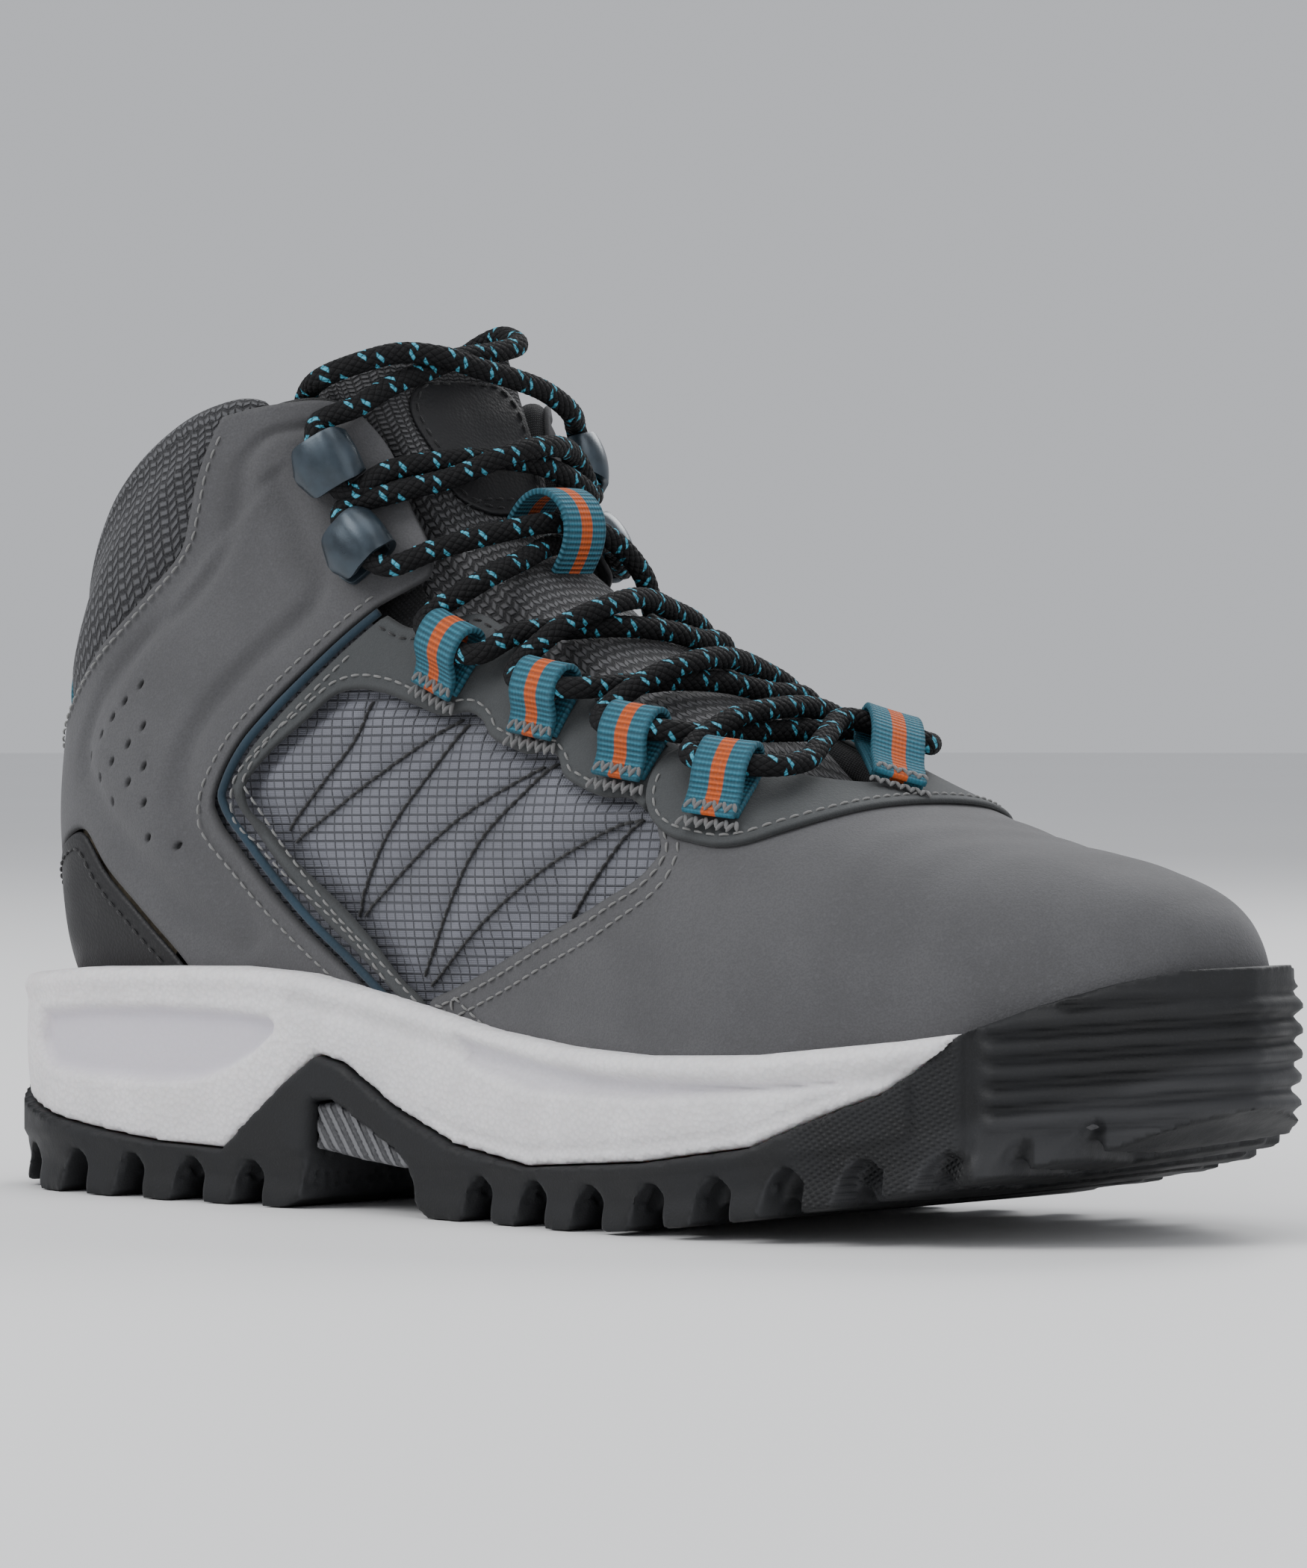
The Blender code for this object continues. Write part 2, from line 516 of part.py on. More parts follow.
def frame_at(centre, x_axis, z_axis):
    """The matrix of a fitting: x and z as given, origin at a loft point in millimetres."""
    x_axis = np.asarray(x_axis, float) / np.linalg.norm(x_axis)
    z_axis = np.asarray(z_axis, float) - x_axis * np.dot(x_axis, z_axis)
    z_axis = z_axis / np.linalg.norm(z_axis)
    y_axis = np.cross(z_axis, x_axis)
    matrix = Matrix.Identity(4)
    for column, axis in enumerate((x_axis, y_axis, z_axis, place(centre))):
        for i in range(3):
            matrix[i][column] = axis[i]
    return matrix


def upright(frame):
    """Turns a flat outline in a fitting's x and z, and its thickness along the fitting's y."""
    return frame @ Matrix(((1, 0, 0, 0), (0, 0, -1, 0), (0, 1, 0, 0), (0, 0, 0, 1)))


def fitting(name, outlines, width, frame, look, pivot=None):
    mesh = flat_solid(name, outlines, -width / 2, width / 2, upright(frame))
    smooth_shaded(mesh)
    return add_object(name, mesh, look, bpy.data.collections["hiking_boot"], pivot)


def tube(name, points, diameter, look, sides_level=2):
    curve = bpy.data.curves.new(name, "CURVE")
    curve.dimensions = "3D"
    curve.bevel_depth = diameter / 2 * MM
    curve.bevel_resolution = sides_level
    curve.use_fill_caps = True
    spline = curve.splines.new("POLY")
    spline.points.add(len(points) - 1)
    for point, co in zip(spline.points, place(points)):
        point.co = (*co, 1)
    return add_object(name, curve, look, bpy.data.collections["hiking_boot"])


# ---------------------------------------------------------------- upper

def lasting_margin(first, last):
    """The lower edge of the upper, turned in under the foot, from one v to another."""
    v = np.linspace(first, last, 9)
    return np.stack([np.interp(v, [0, 0.55, 0.64, 0.72, 1], [0.90, 0.90, 0.93, 1.0, 1.0]), v], axis=1)


def make_vamp():
    margin = smooth_run(lasting_margin(0.437, 0.0), 12)
    rear = np.concatenate([[(0.222, 0.384)], [(0.30, 0.387)], smooth_run(VAMP_EDGE)])
    toe = [(a, 0.0) for a in HALF_ROUND[-4::-1]]
    half = np.concatenate([smooth_run(THROAT_FRONT[::-1]), rear, margin, toe])
    outline = joined(half, mirrored(half))
    panel("vamp", outline, 0, PANEL, "nubuck")


def make_quarter(name, side):
    seam = 1 - GAP / FLAT[0]
    heel = smooth_run(HEEL_LINE)
    heel[:, 0] = np.minimum(heel[:, 0], seam)
    collar = smooth_run(COLLAR_LINE[::-1])
    collar[:, 0] = np.minimum(collar[:, 0], seam)
    bottom = lasting_margin(0.465, 0.592)
    outline = joined(smooth_run(QUARTER_TOP), smooth_run(PIPING_LINE), bottom, shifted(heel, -GAP), collar)
    panel(name, on_side(outline, side), 0, PANEL, "nubuck")


def make_heel_overlay():
    heel = smooth_run(HEEL_LINE)
    outline = joined(round_the_heel(shifted(heel, -GAP * 3)),
                     round_the_heel(lasting_margin(0.60, 0.74))[::-1])
    panel("heel_overlay", outline, 0, PANEL, "black_overlay")


def make_eyestay(name, side):
    rear = shifted(smooth_run(PIPING_LINE), -PIPING_DIAMETER - 2 * PIPING_GAP)
    front = np.array([(0.372, 0.396), (0.30, 0.396), (0.222, 0.392)])
    strip = shifted(smooth_run(VAMP_EDGE), 2 * GAP)
    strip = strip[strip[:, 0] > 0.715][::-1]
    outline = joined(rear[rear[:, 0] < 0.885], strip[strip[:, 0] < 0.885], smooth_run(WINDOW_EDGE, 7), front,
                     smooth_run(THROAT_EDGE))
    panel(name, on_side(outline, side), 0, PANEL, "eyestay")


def make_throat_overlay():
    """The raised piece that closes the front of the throat, over the vamp and the eyestays."""
    half = np.concatenate([smooth_run(TAB_FRONT[::-1], 8), smooth_run(THROAT_FRONT, 9)])
    panel("throat_overlay", joined(half, mirrored(half)), -OVERLAY_HEIGHT, PANEL, "eyestay")


def make_side_mesh(name, side):
    outline = smooth_run(SIDE_MESH + SIDE_MESH[:1], 12)[:-1]
    panel(name, on_side(outline, side), LAYER_STEP, PANEL, "mesh")


def make_collar_mesh():
    top = smooth_run(COLLAR_TOP[4:], 12)
    bottom = [(1.0, 0.863), (0.88, 0.858), (0.76, 0.852), (0.66, 0.846), (0.56, 0.844), (0.50, 0.862),
              (0.465, 0.92), (0.435, 0.962)]
    outline = joined(round_the_heel(top), round_the_heel(smooth_run(bottom[::-1], 12))[::-1])
    panel("collar_mesh", outline, LAYER_STEP, PANEL, "collar")


def lining_depth(u, v):
    """The lining stands further in behind the collar's padding."""
    a = 1 - abs(1 - abs(u))
    deep = smooth_step(0.40, 0.50, a) * smooth_step(0.79, 0.85, v)
    return LINING_DEPTH + (COLLAR_LINING_DEPTH - LINING_DEPTH) * deep


def make_lining():
    """A closed sock with a slot at the throat. It meets itself along the sole and at the toe."""
    top = smooth_run([(0.30, 0.928)] + COLLAR_TOP[2:], 14)
    rows = [(1.0, v) for v in list(np.arange(0.885, 0.2, -0.045)) + TOE_ROWS[::-1]]
    toe = [(a, 0.0) for a in HALF_ROUND[-2:0:-1]]
    half = np.concatenate([smooth_run(LINING_THROAT[::-1], 14), top, rows, toe])
    panel("bootie_lining", joined(half, [(0, 0)], mirrored(half)), lining_depth, LINING_THICKNESS, "lining")


def make_collar_padding():
    half = [(0.52, 0.90), (0.53, 0.968), (0.62, 0.964), (0.70, 0.954), (0.78, 0.942), (0.88, 0.936),
            (1.0, 0.935)]
    low = [(0.52, 0.90), (0.55, 0.872), (0.66, 0.868), (0.80, 0.868), (1.0, 0.868)]
    outline = joined(round_the_heel(smooth_run(half, 14)), round_the_heel(smooth_run(low, 14))[::-1])
    panel("collar_padding", outline, STIFFENER_DEPTH, PADDING_THICKNESS, "foam")


def make_heel_counter():
    half = [(0.70, 0.69), (0.68, 0.74), (0.69, 0.80), (0.77, 0.832), (0.88, 0.842), (1.0, 0.842)]
    low = [(0.70, 0.69), (0.80, 0.692), (0.90, 0.705), (1.0, 0.725)]
    outline = joined(round_the_heel(smooth_run(half, 14)), round_the_heel(smooth_run(low, 14))[::-1])
    panel("heel_counter", outline, STIFFENER_DEPTH, STIFFENER, "board")


def make_toe_puff():
    rear = smooth_run([(0.0, 0.155), (0.30, 0.150), (0.58, 0.125), (0.72, 0.10)], 14)
    rows = [(0.72, v) for v in (0.085, 0.055, 0.025)]
    toe = [(a, 0.0) for a in (0.667, 0.585, 0.50, 0.42, 0.335, 0.25, 0.165, 0.08)]
    half = np.concatenate([rear, rows, toe])
    panel("toe_puff", joined(half, [(0, 0)], mirrored(half)), STIFFENER_DEPTH, STIFFENER, "board")


def make_lasting_board():
    side = smooth_run([(0.88, 0.11), (0.87, 0.30), (0.87, 0.50), (0.88, 0.58), (0.90, 0.62)], 14)
    outline = joined(side, [(1.0, 0.625)], (side * [-1, 1] + [2, 0])[::-1], [(1.0, 0.10)])
    panel("lasting_board", outline, STIFFENER_DEPTH, STIFFENER, "board")


def make_footbed():
    side = smooth_run([(0.89, 0.10), (0.875, 0.14), (0.865, 0.30), (0.865, 0.50), (0.875, 0.60),
                       (0.90, 0.65)], 14)
    outline = joined(side, [(1.0, 0.665)], (side * [-1, 1] + [2, 0])[::-1], [(1.0, 0.095)])
    panel("footbed", outline, FOOTBED_DEPTH, FOOTBED_THICKNESS, "lining", FOOTBED_HINGE)


def tongue_middle(v):
    """How deep the middle of the tongue lies: pressed in under the laces, proud above them."""
    return TONGUE_SUNK + (TONGUE_CROWN - TONGUE_SUNK) * smooth_step(0.70, 0.80, v)


def tongue_depth(u, v):
    """The tongue lies under the lining at its edges, and deepest where the lace's end is tucked away."""
    wide = smooth_step(0.36, 0.42, v) * (1 - smooth_step(0.165, 0.25, abs(u)))
    tucked = smooth_step(0.29, 0.345, abs(u)) * smooth_step(0.89, 0.945, v)
    return TONGUE_DEPTH + (tongue_middle(v) - TONGUE_DEPTH) * wide + LACE_TUCK * tucked


def make_tongue():
    half = np.concatenate([smooth_run(TONGUE_TOP, 12), smooth_run(TONGUE_SIDE, 14)])
    panel("tongue", joined(half, mirrored(half)), tongue_depth, TONGUE_THICKNESS, "collar", TONGUE_HINGE)
    patch = [(0.0, 0.955), (0.10, 0.948), (0.135, 0.915), (0.135, 0.80), (0.11, 0.73), (0.05, 0.71),
             (0.0, 0.708)]
    half = smooth_run(patch, 9)
    panel("tongue_patch", joined(half, mirrored(half)), patch_depth, PATCH_THICKNESS, "black_overlay",
          TONGUE_HINGE)


def patch_depth(u, v):
    return tongue_middle(v) - PATCH_THICKNESS - GAP


# ---------------------------------------------------------------- fittings

def arch(length, height, thickness):
    """Outline of a strap that rises from its two ends in a low arch, open underneath."""
    steps = 8
    outer = [(-math.cos(math.pi * i / steps) * length / 2, math.sin(math.pi * i / steps) ** 0.7 * height)
             for i in range(steps + 1)]
    scale = (length - 2 * thickness) / length
    inner = [(x * scale, z * (height - thickness) / height) for x, z in outer]
    return outer + inner[::-1]


def folded_strap(length, radius, thickness):
    """A closed strap: two plies from its foot at x = 0 to a round fold at x = length that holds the lace."""
    steps = 8
    fold = [(length + radius * math.sin(math.pi * i / steps), radius * (1 - math.cos(math.pi * i / steps)))
            for i in range(steps + 1)]
    outer = [(0, 0)] + fold + [(0, thickness * 2.2)]
    core = radius - thickness
    hole = [(length + core * math.sin(2 * math.pi * i / 12), radius + core * math.cos(2 * math.pi * i / 12))
            for i in range(12)]
    return outer, hole


def loop_frames():
    """For each lace loop, its frame at the foot, and how far from there its fold is."""
    found = {}
    for side, word, loops in ((-1, "lateral", LATERAL_LOOPS), (1, "medial", MEDIAL_LOOPS)):
        for number, (foot, fold) in enumerate(loops, start=1):
            start, end = (lifted(side * a, v, loop_height(v)) for a, v in (foot, fold))
            up = tangents(side * foot[0], foot[1])[2] + tangents(side * fold[0], fold[1])[2]
            frame = frame_at(start, end - start, up)
            found[f"lace_loop_{word}_{number}"] = frame, np.linalg.norm(end - start)
    return found


def hook_frames():
    """For each hook, its frame at the middle of its foot, x away from the throat."""
    found = {}
    for side, word in ((-1, "lateral"), (1, "medial")):
        for (a, v), level in zip(HOOK_PLACES, ("lower", "upper")):
            around, along, out = tangents(side * a, v)
            found[f"hook_{word}_{level}"] = frame_at(lifted(side * a, v, HOOK_LIFT), around * side, out)
    return found


def make_lace_loops():
    for name, (frame, length) in loop_frames().items():
        outlines = folded_strap(length, FOLD_RADIUS, WEBBING_THICKNESS)
        fitting(name, outlines, WEBBING_WIDTH, frame, "webbing")


def loop_height(v):
    """Loops lie on the eyestay, or on the raised overlay at the front of the throat."""
    return OVERLAY_HEIGHT + LOOP_LIFT if v < 0.40 else LOOP_LIFT


def make_hooks():
    """Speed hooks: a foot on the quarter, a neck on the throat side and a lip curled over the lace."""
    inner, outer = HOOK_RADIUS, HOOK_RADIUS + HOOK_THICKNESS
    outline = [(9.0, 0), (-inner, 0)]
    outline += arc(0, HOOK_CENTRE, outer, 200, 60, 7)
    outline += [(8.4, HOOK_CENTRE + 0.6), (8.0, HOOK_CENTRE - 0.7)]
    outline += arc(0, HOOK_CENTRE, inner, 50, 210, 7)
    outline += [(-1.0, HOOK_FOOT), (9.0, HOOK_FOOT)]
    for name, frame in hook_frames().items():
        fitting(name, [outline], HOOK_WIDTH, frame, "hook")
        make_rivet(name.replace("hook", "hook_rivet"), frame)


def make_rivet(name, frame):
    """A low round head on the hook's foot."""
    shape = bmesh.new()
    bmesh.ops.create_cone(shape, cap_ends=True, segments=14, radius1=2.2 * MM, radius2=1.7 * MM,
                          depth=0.9 * MM)
    mesh = bpy.data.meshes.new(name)
    shape.to_mesh(mesh)
    shape.free()
    mesh.transform(frame @ Matrix.Translation((5.2 * MM, 0, (HOOK_FOOT + GAP + 0.45) * MM)))
    smooth_shaded(mesh)
    add_object(name, mesh, "hook", bpy.data.collections["hiking_boot"])


def arc(x, z, radius, start, end, steps):
    angles = [math.radians(start + (end - start) * i / steps) for i in range(steps + 1)]
    return [(x + radius * math.cos(angle), z + radius * math.sin(angle)) for angle in angles]


def make_tongue_loop():
    u, v = TONGUE_LOOP_PLACE
    centre = lifted(u, v, -TONGUE_SUNK + 4 * GAP)
    around, along, out = tangents(u, v)
    frame = frame_at(centre, along, out)
    fitting("tongue_lace_loop", [arch(18, 13, WEBBING_THICKNESS)], WEBBING_WIDTH, frame, "webbing",
            TONGUE_HINGE)


def make_pull_loop():
    centre = lifted(1.0, 0.925, 0.2)
    around, along, out = tangents(1.0, 0.925)
    frame = frame_at(centre, along, out)
    fitting("heel_pull_loop", [arch(25, 15, WEBBING_THICKNESS)], WEBBING_WIDTH, frame, "webbing")


def make_piping(name, side):
    line = shifted(smooth_run(PIPING_LINE), -PIPING_DIAMETER / 2 - PIPING_GAP)
    line = line[line[:, 0] < 0.74]
    tube(name, lifted(side * line[:, 0], line[:, 1], -0.3), PIPING_DIAMETER, "piping", 1)


# ---------------------------------------------------------------- sole

def sole_outline(inset=0.0, step=14.0):
    keys = np.concatenate([[0], np.cumsum(np.linalg.norm(np.diff(SOLE_PLAN[:, :2], axis=0), axis=1))])
    count = int(keys[-1] / step)
    plan = hermite(keys, SOLE_PLAN, np.linspace(0, keys[-1], count))
    lateral, medial = plan[:, [0, 1]], plan[:, [0, 2]]
    outline = np.concatenate([lateral, medial[-2:0:-1]])
    direction = np.roll(outline, -1, axis=0) - np.roll(outline, 1, axis=0)
    inward = np.stack([-direction[:, 1], direction[:, 0]], axis=1)
    return outline + inward / np.linalg.norm(inward, axis=1)[:, None] * inset


def plan_frame():
    return Matrix.Translation(Vector(place((0, 0, 0))))


def side_frame():
    """Puts a side view, given as (x, z), upright, with its thickness across the boot."""
    return Matrix.Translation(Vector(place((0, 0, 0)))) @ Matrix(((1, 0, 0, 0), (0, 0, -1, 0), (0, 1, 0, 0),
                                                                  (0, 0, 0, 1)))


def sole_block(name, side_view, inset, look):
    """The sole's plan, cut to a side view."""
    block = flat_solid(name, [sole_outline(inset)], -10, 70, plan_frame())
    obj = add_object(name, block, look, bpy.data.collections["hiking_boot"])
    view = flat_solid(name + "_side_view", [side_view], -80, 80, side_frame())
    boolean(obj, "INTERSECT", add_cutter(name + "_side_view", view))
    return obj


def make_last_cutter():
    """The cup that the upper sits in: the loft grown by the clearance, up to above the sole."""
    around = np.array([-a for a in HALF_ROUND[:0:-1]] + HALF_ROUND[:-1])
    along = TOE_ROWS[1:] + list(np.arange(0.21, 0.56, 0.045)) + list(np.arange(0.57, 0.84, 0.025))
    points = [lifted(around, np.full(len(around), v), np.full(len(around), CUP_CLEARANCE)) for v in along]
    count, rows = len(around), len(along)
    faces = [(r * count + i, r * count + (i + 1) % count, (r + 1) * count + (i + 1) % count,
              (r + 1) * count + i)
             for r in range(rows - 1) for i in range(count)]
    nose = surface(0.0, 0.0) + [2.5 * CUP_CLEARANCE, 0, -7]
    tip = rows * count
    faces += [(tip, (i + 1) % count, i) for i in range(count)]
    faces += [tuple((rows - 1) * count + i for i in range(count))]
    mesh = mesh_from("last_cutter", place(np.concatenate(points + [nose[None]])), faces)
    shape = bmesh.new()
    shape.from_mesh(mesh)
    bmesh.ops.triangulate(shape, faces=shape.faces)
    bmesh.ops.recalc_face_normals(shape, faces=shape.faces)
    shape.to_mesh(mesh)
    shape.free()
    return add_cutter("last_cutter", mesh)


def make_tread_cutters():
    """Grooves between the lugs: slanting bars across the sole and one along its middle."""
    collection = bpy.data.collections["tread_grooves"]
    heel = [26, 48, 70, 90]
    forefoot = [152, 170, 188, 207, 227, 247, 268]
    for number, x in enumerate(heel + forefoot):
        slant = 0.25 if number % 2 else -0.25
        ground = np.interp(x, *np.array(sorted(GROUND_LINE[:7])).T) if x > 190 else 0
        bar = flat_solid(f"groove_{number}",
                         [[(x - 2.4, -90), (x + 2.4, -90), (x + 2.4, 90), (x - 2.4, 90)]],
                         ground - 6, ground + LUG_DEPTH, Matrix.Identity(4))
        shear = Matrix.Identity(4)
        shear[0][1] = slant
        bar.transform(plan_frame() @ shear)
        add_cutter(f"groove_{number}", bar)
        move_to(bpy.data.objects[f"groove_{number}"], collection)


def move_to(obj, collection):
    for other in list(obj.users_collection):
        other.objects.unlink(obj)
    collection.objects.link(obj)


def make_sole():
    last = make_last_cutter()
    make_tread_cutters()
    rubber = [(x, z - GAP / 2) for x, z in RUBBER_LINE] + TOE_WRAP_TOP[1:] + GROUND_LINE
    outsole = sole_block("outsole", rubber, 0, "rubber")
    boolean(outsole, "DIFFERENCE", last)
    boolean(outsole, "DIFFERENCE", collection=bpy.data.collections["tread_grooves"])
    foam = [(x, z + GAP / 2) for x, z in RUBBER_LINE[:-1]] + [(269.3, 40.3)] + MIDSOLE_TOP[1:]
    midsole = sole_block("midsole", foam, 0.8, "midsole")
    boolean(midsole, "DIFFERENCE", last)
    sole_block("arch_shank", SHANK_SIDE, 2.0, "shank")


# ---------------------------------------------------------------- lace

def passes():
    """Where the lace enters and leaves each fitting, in loft millimetres, toe end first."""
    middles = {name: (frame, length, FOLD_RADIUS, WEBBING_WIDTH) for name,
               (frame, length) in loop_frames().items()}
    middles.update({name: (frame, 0.0, HOOK_CENTRE, HOOK_WIDTH) for name, frame in hook_frames().items()})
    found = {}
    for name, (frame, x, z, width) in middles.items():
        half = width / 2 + 3.0
        ends = [np.array(frame @ Vector((x * MM, y * MM, z * MM))) / MM + ORIGIN for y in (-half, half)]
        found[name] = sorted(ends, key=lambda end: -end[0])
    return found


def lace_line():
    """The lace's centre line, in loft millimetres."""
    through = passes()
    points = []
    for stop in LACE_ROUTE:
        if isinstance(stop[0], str):
            ends = through[stop[0]]
            points += ends if stop[1] == "collar" else ends[::-1]
        else:
            points.append(lifted(*stop))
    return np.array(points)


def make_lace():
    points = lace_line()
    tube("lace", points, LACE_DIAMETER, "lace")
    for name, end, before in (("aglet_medial", points[0], points[1]),
                              ("aglet_lateral", points[-1], points[-2])):
        direction = (end - before) / np.linalg.norm(end - before)
        tube(name, [end + direction * GAP, end + direction * 14], 3.4, "aglet")


def main():
    clear_scene()
    new_collection("hiking_boot")
    cutters = new_collection("cutters")
    cutters.hide_render = True
    grooves = bpy.data.collections.new("tread_grooves")
    cutters.children.link(grooves)
    grooves.hide_render = True
    make_sole()
    make_lasting_board()
    make_toe_puff()
    make_heel_counter()
    make_lining()
    make_collar_padding()
    make_collar_mesh()
    make_vamp()
    make_heel_overlay()
    make_throat_overlay()
    for side, word in ((-1, "lateral"), (1, "medial")):
        make_side_mesh("side_mesh_" + word, side)
        make_quarter("quarter_" + word, side)
        make_eyestay("eyestay_" + word, side)
        make_piping("piping_" + word, side)
    make_footbed()
    make_tongue()
    make_tongue_loop()
    make_pull_loop()
    make_lace_loops()
    make_hooks()
    make_lace()


main()
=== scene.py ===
"""Looks of the hiking boot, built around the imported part.

The loft of the last is the part's own: worked in millimetres, x from the heel to the toe, y towards the
medial side, z up. A place on it is (u, v): v from the toe tip (0) to the collar (1), u from the top of a
section (0) down the lateral side (-1) and the medial side (+1). Objects are in metres about the middle of
the sole.
"""

import math

import bmesh
import bpy
import numpy as np
from mathutils import Matrix, Vector
from mathutils.geometry import delaunay_2d_cdt


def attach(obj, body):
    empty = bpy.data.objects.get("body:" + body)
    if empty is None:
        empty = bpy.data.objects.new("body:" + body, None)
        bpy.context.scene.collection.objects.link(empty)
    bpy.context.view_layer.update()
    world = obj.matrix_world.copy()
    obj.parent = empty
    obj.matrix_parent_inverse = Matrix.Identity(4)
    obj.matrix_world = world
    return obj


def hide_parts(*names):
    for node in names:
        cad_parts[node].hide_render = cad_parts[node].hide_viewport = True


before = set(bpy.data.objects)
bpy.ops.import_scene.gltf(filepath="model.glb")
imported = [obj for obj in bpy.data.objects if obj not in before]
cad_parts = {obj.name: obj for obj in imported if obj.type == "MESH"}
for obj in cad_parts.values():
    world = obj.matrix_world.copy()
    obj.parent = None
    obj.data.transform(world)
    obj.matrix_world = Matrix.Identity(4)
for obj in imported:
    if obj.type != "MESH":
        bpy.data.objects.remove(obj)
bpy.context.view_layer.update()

MM = 0.001
# Driving dimensions, in millimetres
ORIGIN = (152.5, -2.28, 0.0)
GAP = 0.3  # between a piece and its neighbour
SIDES = ((-1, "lateral"), (1, "medial"))
PANEL = 1.2  # thickness of a leather or mesh panel
LAYER_STEP = 2.1  # from one layer's outer face to the next one's
OVERLAY_HEIGHT = 1.5  # outer face of the raised overlay at the front of the throat
STIFFENER_DEPTH = 3.7  # outer face of counter, toe puff and lasting board
LINING_DEPTH = 6.0
LINING_THICKNESS = 1.1
PADDING_THICKNESS = 4.6
COLLAR_LINING_DEPTH = STIFFENER_DEPTH + PADDING_THICKNESS + 0.9
TONGUE_DEPTH = 8.1
TONGUE_SUNK = 4.2  # how far below the loft its middle lies under the laces
TONGUE_CROWN = 1.0  # and above them
TONGUE_THICKNESS = 5.0
FOOTBED_DEPTH = 8.1
FOOTBED_THICKNESS = 3.4
DEEP_REACH = 0.06  # how far apart the inner layers feel the loft's slope, in u
CUP_CLEARANCE = 1.0  # between the upper and the cup in the midsole
CUP_DEPTH = 0.9  # how far inside the loft the cup lies, so that no light shows past the upper's edge
PATCH_THICKNESS = 0.7
LACE_TUCK = 7.8  # room that the tongue leaves for the lace behind the collar
PIPING_DIAMETER = 1.8
PIPING_GAP = 0.5
LACE_DIAMETER = 4.4
WEBBING_WIDTH = 11.0
WEBBING_THICKNESS = 1.3
LOOP_LIFT = 0.6  # a lace loop's foot above the panel that it is sewn to
FOLD_RADIUS = LACE_DIAMETER / 2 + WEBBING_THICKNESS + 0.7  # outer radius of a lace loop's fold
HOOK_WIDTH = 10.2
HOOK_THICKNESS = 1.5
HOOK_RADIUS = LACE_DIAMETER / 2 + 1.1  # inner radius of the bend that holds the lace
HOOK_CENTRE = 4.5  # height of the bend's middle above the foot
HOOK_FOOT = 1.3  # thickness of the foot
HOOK_LIFT = 0.4
HOOK_DROP = 0.9  # how far the edges of a hook's shield curl down
AGLET_LENGTH = 14
AGLET_RADIUS = 1.7
FLECK_LEAD = 9.0  # from one coloured fleck of the lace to the next
BRAID_STEP = 2.1  # length of a braid cell
BRAID_CELLS = 8  # cells round the lace
EDGE_ROWS = (0.3, 0.8)  # rows of points close to a panel's edge

# Sections of the last: v, top x, top z, bottom x, bottom z, half width, centre y,
# shape (0 foot, 1 shaft), backward bow, skew (how far the medial side runs ahead)
SECTIONS = np.array([
    (0.00, 300, 44, 300, 34, 0, 3, 0, 0, 0),
    (0.03, 298, 57, 298, 24, 14, 3, 0, 0, 0),
    (0.07, 291, 65, 291, 20, 26, 2.5, 0, 0, 0),
    (0.13, 274, 71, 274, 20, 38, 2, 0, 0, 0),
    (0.21, 249, 76, 248, 20, 47, 0, 0, 0, 0),
    (0.30, 222, 85, 221, 20, 50, -2, 0, 0, 0),
    (0.39, 197, 97, 190, 20, 46, -3.5, 0, 0, 0),
    (0.48, 173, 110, 152, 21, 40.5, -4, 0.1, 0, 0.02),
    (0.57, 151, 123, 105, 23, 36.5, -3, 0.3, 0, 0.05),
    (0.66, 133, 135, 58, 24, 35.5, -1.5, 0.55, 0, 0.08),
    (0.74, 121, 145.5, 20, 33, 36, -0.5, 0.8, 1, 0.10),
    (0.82, 114.5, 154, 9, 62, 36.5, 0, 1, 3, 0.10),
    (0.90, 110, 162, 16, 93, 38, 0, 1, 5, 0.10),
    (1.00, 106, 170, 21, 124, 39, 0, 1, 7, 0.10),
    (1.10, 101, 182, 20, 136, 39, 0, 1, 7, 0.10),
])
MEDIAL_BULGE = 4.5  # how much further out the shaft stands on its medial side
MEDIAL_LEAD = 3.0  # how much further forward it stands there
# Half of a section from its top to its bottom: how far down, and how wide
FOOT_PROFILE = [(0, 0), (0.035, 0.45), (0.17, 0.80), (0.42, 0.965), (0.72, 1.0), (0.95, 0.93), (1, 0)]
SHAFT_PROFILE = [(0, 0), (0.02, 0.42), (0.10, 0.78), (0.33, 1.0), (0.64, 0.97), (0.89, 0.62), (1, 0)]

# Where panels end, as (|u|, v) on one side of the boot
COLLAR_TOP = [(0.28, 0.930), (0.322, 0.945), (0.368, 0.957), (0.42, 0.968), (0.46, 0.974), (0.51, 0.980),
              (0.60, 0.976), (0.68, 0.966), (0.76, 0.955), (0.88, 0.948), (1.0, 0.946)]
COLLAR_LINE = [(0.461, 0.974), (0.490, 0.942), (0.508, 0.918), (0.523, 0.890), (0.540, 0.868),
               (0.594, 0.864), (0.66, 0.868), (0.76, 0.872), (0.88, 0.878), (1.0, 0.882)]
QUARTER_TOP = [(0.461, 0.974), (0.42, 0.968), (0.368, 0.957), (0.322, 0.945), (0.286, 0.929),
               (0.253, 0.896), (0.232, 0.858), (0.222, 0.822), (0.225, 0.776), (0.232, 0.734),
               (0.240, 0.706), (0.255, 0.681), (0.281, 0.669), (0.320, 0.674), (0.361, 0.684)]
PIPING_LINE = [(0.361, 0.684), (0.400, 0.691), (0.457, 0.700), (0.504, 0.707), (0.544, 0.711),
               (0.574, 0.709), (0.592, 0.705), (0.604, 0.694), (0.616, 0.675), (0.642, 0.638),
               (0.679, 0.599), (0.717, 0.563), (0.76, 0.530), (0.82, 0.495), (0.90, 0.465)]
